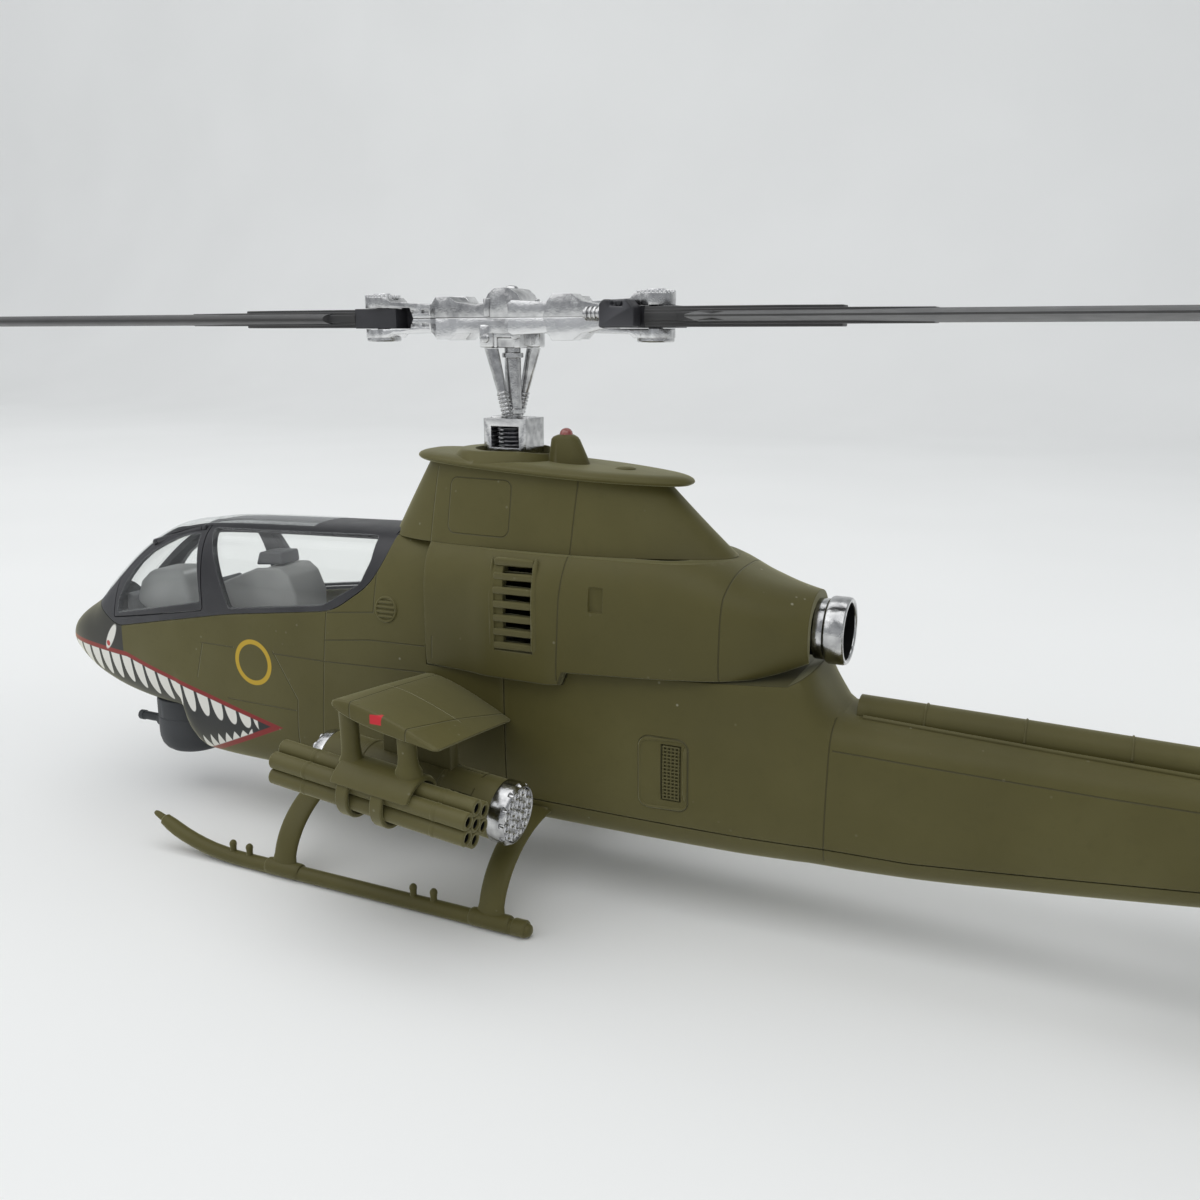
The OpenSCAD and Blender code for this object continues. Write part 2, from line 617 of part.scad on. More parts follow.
module pilot_seat() {
    color("#a9adae") at_mast() difference() {
        side([[-54.6, 23.5], [-38.6, 23.5], [-38.4, 38.2], [-39.8, 41.3], [-41.6, 42.5], [-46.3, 42.1],
            [-54.6, 38.8]], -3.9, 3.9);
        side([[-53.6, 33], [-46, 33], [-44.6, 44], [-53.6, 44]], -3, 3);
    }
}
module pilot_headrest() {
    color("#4a4d50") at_mast() side([[-47.8, 42.2], [-42.2, 42.7], [-42.4, 44.7], [-47.0, 44.4]], -2.2, 2.2);
}
module gunner_console() {
    color("#55585a") at_mast() side([[-77.6, 29.2], [-75.6, 29.2], [-75.2, 34.4], [-76.6, 35]], -3.2, 3.2);
}
module pilot_console() {
    color("#55585a") at_mast() side([[-58.8, 32], [-56.8, 32], [-56.4, 38.2], [-57.4, 39]], -4.4, 4.4);
}
module control_sticks() {
    color("#8c9092") at_mast() {
        translate([-50.4, 0, 33]) {
            cylinder(h = 5.6, r = 0.4, $fn = 24);
            translate([0, 0, 5.6]) sphere(r = 0.75, $fn = 24);
        }
        translate([-70.8, 5.0 - 0.6, 30.0]) cylinder(h = 3.4, r = 0.35, $fn = 24);
    }
}
module nose_weight() {
    color("#777777") at_mast() side([[-84, 22], [-79.4, 21.1], [-79.4, 30], [-84, 30]], -3, 3);
}

// ---- Stub wings, pods and their mounts
wing_root = 10.05;
module wing_solid() {
    rise = tan(wing_incidence) * 6.8;
    tip = wing_span / 2;
    panel([[wing_root, -10.2, 28.0 + 1.45 * rise, 4.2, 28.0 - 1.45 * rise, 2.4],
        [tip - 0.5, -9.2, 31.3 + 1.19 * rise, 6.9, 31.3 - 1.19 * rise, 2.4],
        [tip, -8.7, 31.2 + 1.1 * rise, 6.2, 31.2 - 1.1 * rise, 1.4]]);
}
module wing() {
    wing_solid();
    y_rod(7, wing_root + 1, spar_r, spar_x, spar_z);
}
module wing_right() { color(olive) at_mast() wing(); }
module wing_left() { color(olive) at_mast() mirror([0, 1, 0]) wing(); }

pod_tilt = 6;
pod7_y = 31;
pod7_mid = [-4, 21.3];
pod7_length = 30.3;
pod19_y = 21.3;
pod19_mid = [-4.4, 18.8];
pod19_length = 27.4;
tube_pitch = 2.2;
tube_r = 1.15;
module pod_axis(y, mid) { translate([mid[0], y, mid[1]]) rotate([0, 90 + pod_tilt, 0]) children(); }
module seven_tubes() {
    for (k = [0 : 5]) rotate(60 * k) translate([tube_pitch, 0, 0]) children();
    children();
}
module seven_tube_pod() {
    pod_axis(pod7_y, pod7_mid) difference() {
        translate([0, 0, -pod7_length / 2]) {
            seven_tubes() cylinder(h = pod7_length, r = tube_r, $fn = 32);
            cylinder(h = pod7_length - 0.6, r = 1.9, $fn = 32);
        }
        seven_tubes() for (z = [-pod7_length / 2 - 1, pod7_length / 2 - 2])
            translate([0, 0, z]) cylinder(h = 3, r = 0.6, $fn = 24);
    }
}
module seven_tube_pod_right() { color(olive) at_mast() seven_tube_pod(); }
module seven_tube_pod_left() { color(olive) at_mast() mirror([0, 1, 0]) seven_tube_pod(); }

pod19_r = pod19_d / 2 - 0.2;
pod_ring = 2.5;
module nineteen_tube_pod() {
    pod_axis(pod19_y, pod19_mid) difference() {
        translate([0, 0, -pod19_length / 2]) cylinder(h = pod19_length, r = pod19_r, $fn = 96);
        for (turn = [0 : 60 : 300]) rotate(turn)
            translate([pod19_r - 0.25, -0.2, pod19_length / 2 - 6]) cube([1, 0.4, 3]);
    }
}
module nineteen_tube_pod_right() { color(olive) at_mast() nineteen_tube_pod(); }
module nineteen_tube_pod_left() { color(olive) at_mast() mirror([0, 1, 0]) nineteen_tube_pod(); }
module nineteen_holes() {
    children();
    for (k = [0 : 5]) rotate(60 * k) translate([1.55, 0, 0]) children();
    for (k = [0 : 11]) rotate(30 * k + 15) translate([3.05, 0, 0]) children();
}
module nineteen_pod_rings() {
    pod_axis(pod19_y, pod19_mid) difference() {
        union() {
            translate([0, 0, pod19_length / 2]) rotate_extrude($fn = 96)
                polygon([[0, 0], [pod19_d / 2, 0], [pod19_d / 2, 1.7], [pod19_d / 2 - 0.4, pod_ring],
                    [0, pod_ring]]);
            translate([0, 0, -pod19_length / 2 - 1.8]) rotate_extrude($fn = 96)
                polygon([[0, 0], [3.6, 0], [4, 0.5], [pod19_r, 1.8], [0, 1.8]]);
        }
        nineteen_holes() {
            translate([0, 0, pod19_length / 2 + pod_ring - 1]) cylinder(h = 2, r = 0.5, $fn = 20);
            translate([0, 0, -pod19_length / 2 - 3]) cylinder(h = 2.4, r = 0.5, $fn = 20);
        }
    }
}
module nineteen_pod_rings_right() { color(silver) at_mast() nineteen_pod_rings(); }
module nineteen_pod_rings_left() { color(silver) at_mast() mirror([0, 1, 0]) nineteen_pod_rings(); }

shroud_r = tube_pitch + tube_r + 0.05;
module pod_mount() {
    difference() {
        union() {
            pod_axis(pod7_y, pod7_mid) {
                difference() {
                    translate([0, 0, -4.7]) cylinder(h = 11.7, r = shroud_r + 0.7, $fn = 96);
                    translate([-1.6, -8, -10]) cube([10, 16, 30]);
                }
                for (z = [-3.6, 1.7]) translate([0, 0, z]) cylinder(h = 1.8, r = shroud_r + 0.5, $fn = 96);
            }
            for (x = [-7.8, 1.0]) rod([x + 0.4, pod7_y, 22], [x, pod7_y, 33], 1.15);
            // pylon of the nineteen-tube pod, its top inside the wing
            side([[-9, 17], [-9, 31.4], [2, 28.4], [2, 17]], pod19_y - 1.1, pod19_y + 1.1);
        }
        pod_axis(pod7_y, pod7_mid) translate([0, 0, -20]) cylinder(h = 40, r = shroud_r, $fn = 96);
        pod_axis(pod19_y, pod19_mid) translate([0, 0, -20]) cylinder(h = 40, r = pod19_r, $fn = 96);
        wing_solid();
        // nothing of the mount stands above the wing's upper skin
        side([[-12, 33.4], [-12, 50], [12, 50], [12, 28.2]], 12, 40);
    }
}
module pod_mount_right() { color(olive) at_mast() pod_mount(); }
module pod_mount_left() { color(olive) at_mast() mirror([0, 1, 0]) pod_mount(); }

// ---- Landing gear
skid_y = skid_track / 2;
skid_path = [[-53.6, 5.6], [-52.2, 5.0], [-50.4, 4.1], [-47.6, 2.9], [-44, 1.9], [-40, 1.3],
    [-36, 1.1], [12.7, 1.1], [13.5, 1.1], [13.9, 1.1]];
function skid_ring(k, n, sides) =
    let (p = skid_path[k], r = skid_d / 2 * (k == n - 1 ? 0.4 : k == n - 2 ? 0.8 : k == 0 ? 0.6 : 1))
    [for (i = [0 : sides - 1]) let (a = 360 * (i + 0.5) / sides)
        [p[0] + (k < 6 ? 0.35 * r * sin(a) : 0), skid_y + r * cos(a),
         max(p[1] + r * sin(a) / cos(180 / sides), 0)]];
module tube(rings) {
    n = len(rings);
    sides = len(rings[0]);
    faces = concat(
        [[for (i = [0 : sides - 1]) i]],
        [for (k = [0 : n - 2], i = [0 : sides - 1])
            let (j = (i + 1) % sides, a = k * sides)
            each [[a + i, a + sides + i, a + j], [a + j, a + sides + i, a + sides + j]]],
        [[for (i = [sides - 1 : -1 : 0]) (n - 1) * sides + i]]);
    polyhedron(points = [for (r = rings) each r], faces = faces, convexity = 6);
}
module skid() {
    tube([for (k = [0 : len(skid_path) - 1]) skid_ring(k, len(skid_path), 16)]);
    for (x = [-37.9, -34.7, -5.0, -1.6]) translate([x, skid_y, 1]) {
        cylinder(h = 2.4, r = 0.5, $fn = 24);
        translate([0, 0, 2.4]) sphere(r = 0.5, $fn = 24);
    }
}
module skid_right() { color(olive) at_mast() skid(); }
module skid_left() { color(olive) at_mast() mirror([0, 1, 0]) skid(); }
leg_root_y = 8.4;
function leg_ring(t, x) =
    let (y = leg_root_y + (skid_y - leg_root_y) * sin(t), z = leg_bar_z - (leg_bar_z - 1.2) * (1 - cos(t)),
         half = lerp(2.1, 1.9, t / 90), thick = 0.75)
    [for (i = [0 : 15]) let (a = -360 * i / 16)
        [x + half * cos(a), y + thick * sin(a) * sin(t), z + thick * sin(a) * cos(t)]];
module cross_tube(x) {
    difference() {
        union() {
            on_both() tube([for (k = [0 : 10]) leg_ring(9 * k, x)]);
            translate([x - leg_bar_w / 2, -9, leg_bar_z - leg_bar_h / 2]) cube([leg_bar_w, 18, leg_bar_h]);
        }
        on_both() x_rod(x - 10, x + 10, skid_d / 2, skid_y, skid_d / 2);
    }
}
module cross_tube_front() { color(olive) at_mast() cross_tube(front_leg_x); }
module cross_tube_rear() { color(olive) at_mast() cross_tube(rear_leg_x); }

// ---- Turret
turret_r = 6.2;
gun_z = 12.2;
module turret_housing() {
    color(dark) at_mast() difference() {
        translate([turret_x, 0, 0]) rotate_extrude($fn = 128)
            polygon([[0, 7.2], [3.6, 7.2], [5.2, 7.9], [6.0, 9.2], [turret_r, 10.8], [turret_r, 16.6],
                [5.9, 17.2], [turret_pivot_r, 17.2], [turret_pivot_r, 20.6], [0, 20.6]]);
        for (y = [-2.6, 2.6]) x_rod(turret_x - 9, turret_x - 3, 1.3, y, gun_z);
    }
}
module turret_clip() {
    color("#777777") at_mast() translate([turret_x, 0, turret_top_z + 1.6 + fit]) difference() {
        cylinder(h = 0.8, r = 3.4, $fn = 64);
        translate([0, 0, -1]) cylinder(h = 3, r = turret_pivot_r, $fn = 64);
    }
}
module turret_guns() {
    color(dark) at_mast() {
        x_rod(turret_x - 9.6, turret_x - 3, 1.0, 2.6, gun_z);
        x_rod(turret_x - 5.6, turret_x - 3, 1.3, 2.6, gun_z);
        x_rod(turret_x - 10.6, turret_x - 3, 0.75, -2.6, gun_z);
        x_rod(turret_x - 5.6, turret_x - 3, 1.3, -2.6, gun_z);
    }
}

// ---- Main rotor
module rotor_mast() {
    color(silver) at_mast() {
        translate([0, 0, 56]) cylinder(h = 21.2, r = mast_r, $fn = 64);
        translate([0, 0, 57.6]) cylinder(h = 1 - fit, r = 2.2, $fn = 64);
    }
}
bracket_z = 62.5;
bracket_top = 67.5;
module mast_bracket() {
    color(silver) at_mast() difference() {
        translate([-3.7, -3, bracket_z]) cube([7.4, 6, bracket_top - bracket_z]);
        translate([-2.4, -4, bracket_z + 0.9]) cube([4.8, 8, 3.0]);
        translate([0, 0, 60]) cylinder(h = 10, r = mast_r, $fn = 64);
    }
}
module mast_bellows() {
    color("#6a6a70") at_mast() translate([0, 0, bracket_z + 0.9]) rotate_extrude($fn = 96)
        polygon(concat([[mast_r, 0]],
            [for (k = [0 : 3]) each [[1.6, 0.75 * k], [2.2, 0.75 * k + 0.2], [2.2, 0.75 * k + 0.45]]],
            [[1.6, 3.0], [mast_r, 3.0]]));
}
link_top = [-3.0, -1.7, 79.2];
link_foot = [0.5, -2.5, 67.8];
module control_links() {
    color(silver) at_mast() for (turn = [0, 180]) rotate(turn) {
        d = (link_top - link_foot) / norm(link_top - link_foot);
        rod(link_foot, link_top - d * 2.4, 0.55);
        for (k = [0 : 3]) rod(link_foot + d * (0.3 + 0.75 * k), link_foot + d * (0.75 + 0.75 * k), 0.85);
    }
}
half_yoke_up = [[0, 4.3], [1.3, 4.1], [2.3, 3.3], [3.0, 2.0], [4.2, 1.7], [7.6, 2.2], [8.3, 2.9],
    [10.4, 2.9], [11.6, 1.9], [14, 2.1], [19, 2.4], [19.6, 3.0], [24.4, 3.0], [24.4, 1.5], [15.6, 1.5],
    [15.0, 0.06]];
half_yoke_down = [[0, 2.1], [3.0, 2.0], [7.6, 2.1], [8.3, 2.9], [10.4, 2.9], [11.6, 2.0], [19, 2.2],
    [19.6, 2.7], [24.4, 2.7], [24.4, 1.5], [15.6, 1.5], [15.0, 0.06]];
function both_ends(half) = concat(half,
    [for (i = [len(half) - 1 : -1 : 0]) if (half[i][0] > 0) [-half[i][0], half[i][1]]]);
arm_plan = [[0, 2.9], [3.0, 2.5], [7.6, 2.6], [8.4, 3.3], [10.5, 3.3], [12, 2.4], [18.6, 2.2], [21.8, 2.2]];
lug_x = 21.8;
module yoke_plan() {
    n = len(arm_plan) - 1;
    linear_extrude(height = 12, center = true) union() {
        polygon(concat([for (i = [n : -1 : 1]) [-arm_plan[i][0], arm_plan[i][1]]], arm_plan,
            [for (i = [n : -1 : 0]) [arm_plan[i][0], -arm_plan[i][1]]],
            [for (i = [1 : n]) [-arm_plan[i][0], -arm_plan[i][1]]]));
        for (x = [-lug_x, lug_x]) translate([x, 0]) circle(r = 2.6, $fn = 64);
    }
}
bolt_r = 0.95;
module yoke_half(profile) {
    difference() {
        intersection() {
            side(both_ends(profile), -5, 5);
            yoke_plan();
        }
        for (x = [-lug_x, lug_x]) translate([x, 0, -6]) cylinder(h = 12, r = bolt_r, $fn = 48);
    }
}
trunnion_z = 77.2;
module yoke_upper() {
    color(silver) at_mast() translate([0, 0, hub_z]) yoke_half(half_yoke_up);
}
module yoke_lower() {
    color(silver) at_mast() {
        translate([0, 0, hub_z]) mirror([0, 0, 1]) yoke_half(half_yoke_down);
        translate([-2.4, -2.2, trunnion_z]) cube([4.8, 4.4, hub_z - 1 - trunnion_z]);
        for (turn = [0, 180]) rotate(turn) translate([-3.9, -2.6, trunnion_z]) cube([2.2, 1.8, 3.2]);
    }
}
module root_block() {
    difference() {
        union() {
            translate([16.0, -2.0, -1.35]) cube([10.4, 4.0, 2.7]);
            translate([15.8, -5.3, -1.4]) cube([5.0, 2.6, 3.6]);
            translate([16.6, -3.2, -1.3]) cube([3.4, 2.0, 2.6]);
            x_rod(13.2, 16.4, 0.7, -4.0, 0.4);
            for (k = [0 : 2]) x_rod(13.7 + 0.8 * k, 14.1 + 0.8 * k, 1.0, -4.0, 0.4);
        }
        translate([lug_x, 0, -6]) cylinder(h = 12, r = bolt_r, $fn = 48);
    }
}
module blade_roots() {
    color(dark) at_mast() translate([0, 0, hub_z]) for (turn = [0, 180]) rotate(turn) root_block();
}
blade_lead = 4.6;    // leading edge ahead of the blade's bolt line
root_x = 26.4;
module blade() {
    translate([root_x + 3, 0, 0]) rotate([90, 0, 90]) linear_extrude(height = rotor_r - root_x - 3)
        polygon([for (q = foil_loop(10)) [blade_lead - q[0] * blade_chord, q[1] * blade_t * thickness_k]]);
    // grip plate and stepped doublers that carry the load into the blade
    translate([0, 0, -0.55]) linear_extrude(height = 1.1)
        polygon([[root_x, 2.0], [root_x, -2.0], [32.5, blade_lead - blade_chord + 1.5], [36, 0],
            [32.5, blade_lead - 0.8]]);
    translate([0, 0, -0.95]) linear_extrude(height = 1.9)
        polygon([[root_x, 1.9], [root_x, -1.9], [31, -4.2], [49, -4.2], [58, -2.2], [58, 1.2], [49, 2.4],
            [31, 2.6]]);
}
module rotor_blades() {
    color(dark) at_mast() translate([0, 0, hub_z]) for (turn = [0, 180]) rotate(turn) blade();
}
module blade_bolts() {
    color("#7d7d7d") at_mast() translate([0, 0, hub_z]) for (x = [-lug_x, lug_x]) translate([x, 0, 0]) {
        translate([0, 0, -2.7]) cylinder(h = 5.7, r = bolt_r, $fn = 48);
        translate([0, 0, 3.0]) cylinder(h = 0.6, r = 1.4, $fn = 6);
        translate([0, 0, -3.3]) cylinder(h = 0.6, r = 1.4, $fn = 6);
    }
}

// ---- Tail rotor
tail_hub_y = -6.2;
tail_blade_t = 0.8;
module tail_rotor() {
    color(dark) at_mast() {
        y_rod(tail_hub_y - 1.4, -1.4, tail_shaft_r, tail_hub_x, tail_hub_z);
        translate([tail_hub_x, tail_hub_y, tail_hub_z]) rotate([0, tail_rotor_tilt, 0]) {
            translate([-1.5, -0.8, -3.6]) cube([3, 1.6, 7.2]);
            for (turn = [0, 180]) rotate([0, turn, 0]) {
                translate([0, 0, 3]) linear_extrude(height = tail_rotor_d / 2 - 3)
                    polygon([for (q = foil_loop(8)) [1.6 - q[0] * 4.5, q[1] * tail_blade_t * thickness_k]]);
            }
        }
    }
}

forward_fuselage();
aft_fuselage();
belly_plate();
engine_cowl();
mast_fairing();
fairing_cap();
beacon_lens();
drive_shaft_cover();
tail_fin();
elevator_left();
elevator_right();
tail_skid();
tail_gearbox();
exhaust_ring();
exhaust_pipe();
canopy_frame();
windshield();
front_window_right();
rear_window_left();
cockpit_tub();
gunner_seat();
pilot_seat();
gunner_console();
pilot_console();
pilot_headrest();
control_sticks();
nose_weight();
case_screws();
wing_left();
wing_right();
pod_mount_left();
pod_mount_right();
seven_tube_pod_left();
seven_tube_pod_right();
nineteen_tube_pod_left();
nineteen_tube_pod_right();
nineteen_pod_rings_left();
nineteen_pod_rings_right();
skid_left();
skid_right();
cross_tube_front();
cross_tube_rear();
mast_bearing();
gunner_door_frame();
gunner_door_glass();
pilot_door_frame();
pilot_door_glass();
turret_housing();
turret_clip();
turret_guns();
rotor_mast();
mast_bracket();
mast_bellows();
control_links();
yoke_upper();
yoke_lower();
blade_roots();
rotor_blades();
blade_bolts();
tail_rotor();
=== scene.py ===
"""Looks of the helicopter scale model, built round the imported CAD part.

Shapes are made in millimetres from the rotor mast (x aft, y to starboard, z up). place() turns a
finished piece into metres in the row frame.
"""
import random
from math import ceil, copysign, cos, hypot, pi, radians, sin, sqrt, tan

import bmesh
import bpy
import numpy as np
from mathutils import Matrix, Vector


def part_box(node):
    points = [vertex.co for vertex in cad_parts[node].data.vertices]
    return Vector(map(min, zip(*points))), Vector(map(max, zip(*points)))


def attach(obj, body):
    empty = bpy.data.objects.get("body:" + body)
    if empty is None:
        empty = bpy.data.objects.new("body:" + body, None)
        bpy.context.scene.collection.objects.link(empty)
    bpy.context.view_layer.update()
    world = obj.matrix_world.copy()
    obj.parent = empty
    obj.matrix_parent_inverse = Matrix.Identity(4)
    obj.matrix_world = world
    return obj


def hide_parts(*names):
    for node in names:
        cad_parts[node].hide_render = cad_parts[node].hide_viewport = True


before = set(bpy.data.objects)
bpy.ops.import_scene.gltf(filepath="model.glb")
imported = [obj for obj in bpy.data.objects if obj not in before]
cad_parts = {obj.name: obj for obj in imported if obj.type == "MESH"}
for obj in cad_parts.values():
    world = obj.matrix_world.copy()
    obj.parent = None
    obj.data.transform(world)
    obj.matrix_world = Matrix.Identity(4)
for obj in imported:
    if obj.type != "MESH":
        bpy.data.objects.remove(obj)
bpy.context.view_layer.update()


MM = 0.001
mast_low, mast_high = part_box("rotor_mast")
MAST_X = (mast_low.x + mast_high.x) / 2
TO_ROW = Matrix.Translation((MAST_X, 0, 0)) @ Matrix.Scale(MM, 4)
random.seed(7)


def node_mm(name):
    """Lowest and highest corner of a CAD node, in millimetres from the mast."""
    low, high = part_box(name)
    inverse = TO_ROW.inverted()
    return inverse @ low, inverse @ high


# ---------------------------------------------------------------- materials
class Field:
    """A number that varies over a surface. Arithmetic on it adds Math nodes to its material."""

    def __init__(self, tree, socket):
        self.tree, self.socket = tree, socket

    def math(self, operation, *others):
        node = self.tree.nodes.new("ShaderNodeMath")
        node.operation = operation
        for k, value in enumerate((self, *others)):
            if isinstance(value, Field):
                self.tree.links.new(value.socket, node.inputs[k])
            else:
                node.inputs[k].default_value = value
        return Field(self.tree, node.outputs[0])

    def __add__(self, other):
        return self.math("ADD", other)

    def __sub__(self, other):
        return self.math("SUBTRACT", other)

    def __mul__(self, other):
        return self.math("MULTIPLY", other)

    def __neg__(self):
        return self * -1.0

    def low(self, other):
        return self.math("MINIMUM", other)

    def high(self, other):
        return self.math("MAXIMUM", other)

    def abs(self):
        return self.math("ABSOLUTE")

    def power(self, exponent):
        return self.math("POWER", exponent)

    def fract(self):
        return self.math("FRACT")

    def clamp(self):
        return self.high(0.0).low(1.0)

    def inside(self, width=0.04):
        """1 where this distance is below zero, 0 where it is above, with a soft edge."""
        return ((self * (-0.5 / width)) + 0.5).clamp()


class Paint:
    """A material being built: its tree, its Principled shader and the position in millimetres."""

    def __init__(self, name):
        self.material = bpy.data.materials.new(name)
        self.material.use_nodes = True
        self.tree = self.material.node_tree
        self.tree.nodes.clear()
        self.output = self.node("OutputMaterial")
        self.shader = self.node("BsdfPrincipled")
        self.link(self.shader.outputs[0], self.output.inputs["Surface"])
        place_node = self.node("TexCoord")
        scale = self.node("VectorMath")
        scale.operation = "MULTIPLY_ADD"
        self.link(place_node.outputs["Object"], scale.inputs[0])
        scale.inputs[1].default_value = (1 / MM,) * 3
        scale.inputs[2].default_value = (-MAST_X / MM, 0, 0)
        self.mm = scale.outputs[0]
        split = self.node("SeparateXYZ")
        self.link(self.mm, split.inputs[0])
        self.x, self.y, self.z = (Field(self.tree, split.outputs[k]) for k in range(3))

    def node(self, kind):
        return self.tree.nodes.new("ShaderNode" + kind)

    def link(self, a, b):
        self.tree.links.new(a, b)

    def noise(self, size, detail=3.0):
        """Noise with features of that size in millimetres."""
        texture = self.node("TexNoise")
        texture.inputs["Scale"].default_value = 1 / size
        texture.inputs["Detail"].default_value = detail
        self.link(self.mm, texture.inputs["Vector"])
        return Field(self.tree, texture.outputs[0])

    def cells(self, size):
        """Distance from the nearest of scattered points, which lie that far apart."""
        texture = self.node("TexVoronoi")
        texture.inputs["Scale"].default_value = 1 / size
        self.link(self.mm, texture.inputs["Vector"])
        return Field(self.tree, texture.outputs["Distance"])

    def pointiness(self):
        """Above a half on convex edges, below it in corners."""
        return Field(self.tree, self.node("NewGeometry").outputs["Pointiness"])

    def ramp(self, field, *stops):
        """A colour from a field: stops are (position, colour)."""
        ramp = self.node("ValToRGB")
        elements = ramp.color_ramp.elements
        while len(elements) < len(stops):
            elements.new(0.5)
        for element, (position, colour) in zip(elements, stops):
            element.position = position
            element.color = (*colour, 1)
        self.link(field.socket, ramp.inputs[0])
        return ramp.outputs[0]

    def blend(self, base, colour, mask):
        """colour over base where mask is 1. Both are sockets or fixed colours."""
        mix = self.node("Mix")
        mix.data_type = "RGBA"
        self.link(mask.socket, mix.inputs[0])
        for socket, value in ((mix.inputs[6], base), (mix.inputs[7], colour)):
            if isinstance(value, tuple):
                socket.default_value = (*value, 1)
            else:
                self.link(value, socket)
        return mix.outputs[2]

    def colour(self, socket):
        self.link(socket, self.shader.inputs["Base Color"])

    def roughness(self, field):
        self.link(field.socket, self.shader.inputs["Roughness"])

    def relief(self, height, depth, edge=0.0):
        """Bump of height (0 to 1) times depth in millimetres, over edges softened by edge millimetres."""
        bump = self.node("Bump")
        bump.inputs["Distance"].default_value = depth * MM
        bump.inputs["Strength"].default_value = 1.0
        self.link(height.socket, bump.inputs["Height"])
        if edge:
            soft = self.node("Bevel")
            soft.samples = 6
            soft.inputs["Radius"].default_value = edge * MM
            self.link(soft.outputs[0], bump.inputs["Normal"])
        self.link(bump.outputs[0], self.shader.inputs["Normal"])

    def set(self, **values):
        for key, value in values.items():
            self.shader.inputs[key.replace("_", " ")].default_value = value

    def segment(self, a, b):
        """Distance from the side-view segment a-b, in millimetres."""
        d = (b[0] - a[0], b[1] - a[1])
        square = d[0] ** 2 + d[1] ** 2
        along = ((self.x - a[0]) * (d[0] / square) + (self.z - a[1]) * (d[1] / square)).clamp()
        dx = self.x - a[0] - along * d[0]
        dz = self.z - a[1] - along * d[1]
        return (dx * dx + dz * dz).math("SQRT")

    def lines(self, *paths):
        """Distance from the nearest of several side-view polylines."""
        nearest = None
        for path in paths:
            for a, b in zip(path, path[1:]):
                d = self.segment(a, b)
                nearest = d if nearest is None else nearest.low(d)
        return nearest

    def frame_line(self, x0, z0, x1, z1, r):
        """Distance from the outline of a rounded rectangle in the side view."""
        dx = (self.x - (x0 + x1) / 2).abs() - ((x1 - x0) / 2 - r)
        dz = (self.z - (z0 + z1) / 2).abs() - ((z1 - z0) / 2 - r)
        outer = (dx.high(0.0).power(2.0) + dz.high(0.0).power(2.0)).math("SQRT")
        return outer + dx.high(dz).low(0.0) - r


OLIVE = (0.086, 0.075, 0.018)
OLIVE_DEEP = (0.069, 0.060, 0.013)
OLIVE_LIGHT = (0.112, 0.100, 0.030)
BLACK = (0.022, 0.022, 0.025)


def olive_paint(name, grooves=None, marks=None, dust=0.5):
    """Matt olive paint: slow tone changes, fine grain, worn edges, dust specks, engraved lines."""
    p = Paint(name)
    tone = p.noise(26, 4.0)
    colour = p.ramp(tone, (0.25, OLIVE_DEEP), (0.5, OLIVE), (0.8, OLIVE_LIGHT))
    grain = p.noise(0.22, 2.0)
    fine = p.noise(1.4, 3.0)
    colour = p.blend(colour, OLIVE_DEEP, (fine - 0.55).high(0.0) * 1.2)
    worn = ((p.pointiness() - 0.53) * 6.0).clamp()
    colour = p.blend(colour, (0.17, 0.155, 0.085), worn * 0.5)
    height = grain * 0.35 + fine * 0.3
    if grooves is not None:
        # engraved lines are darkened; on the cowl and boom the cowl's foot line is widened into a painted
        # shadow
        groove = grooves(p)
        colour = p.blend(colour, (0.026, 0.023, 0.008), groove * 0.62)
        height = height - groove * 3.0
    if marks is not None:
        colour = marks(p, colour)
    distance = p.cells(2.3)
    where = ((p.noise(17, 2.0) - 0.5) * 6.0).clamp()
    specks = (distance - 0.075).inside(0.03) * where
    colour = p.blend(colour, (0.34, 0.33, 0.24), specks * dust)
    p.colour(colour)
    p.roughness(p.noise(6, 3.0) * 0.16 + 0.5)
    p.set(Specular_IOR_Level=0.36, Sheen_Weight=0.5, Sheen_Roughness=0.36, Sheen_Tint=(0.9, 0.87, 0.55, 1))
    p.relief(height, 0.028, 0.14)
    return p.material


def hull_grooves(p):
    d = p.lines(
        ((-27.7, 38.2), (-28.5, 30.0), (-29.6, 17.0), (-29.8, 9)),
        ((-38.6, 30.6), (-34.1, 23.2), (-34.6, 17.2), (-34.6, 12.5)),
        ((-54.0, 30.1), (-46.8, 30.2)),
        ((-38.6, 30.2), (-28.3, 30.2), (-10, 30.8)),
        ((-53.6, 30.1), (-55.4, 24.0)),
        ((-48.8, 21.3), (-34.6, 21.3)),
        ((-18.6, 47.2), (-19.0, 38.9), (-27.4, 38.0)),
        ((-28.2, 33.6), (-19.6, 34.6), (-10, 34.8)),
    )
    return (d - 0.075).inside(0.06)


TOOTH_PITCH_UPPER, TOOTH_PITCH_LOWER = 3.05, 2.05
EYE_X, EYE_Z = -77.0, 27.9
RING_MARK_X, RING_MARK_Z, RING_MARK_R = -42.8, 28.2, 3.38
TOOTH_WHITE = (0.78, 0.77, 0.72)


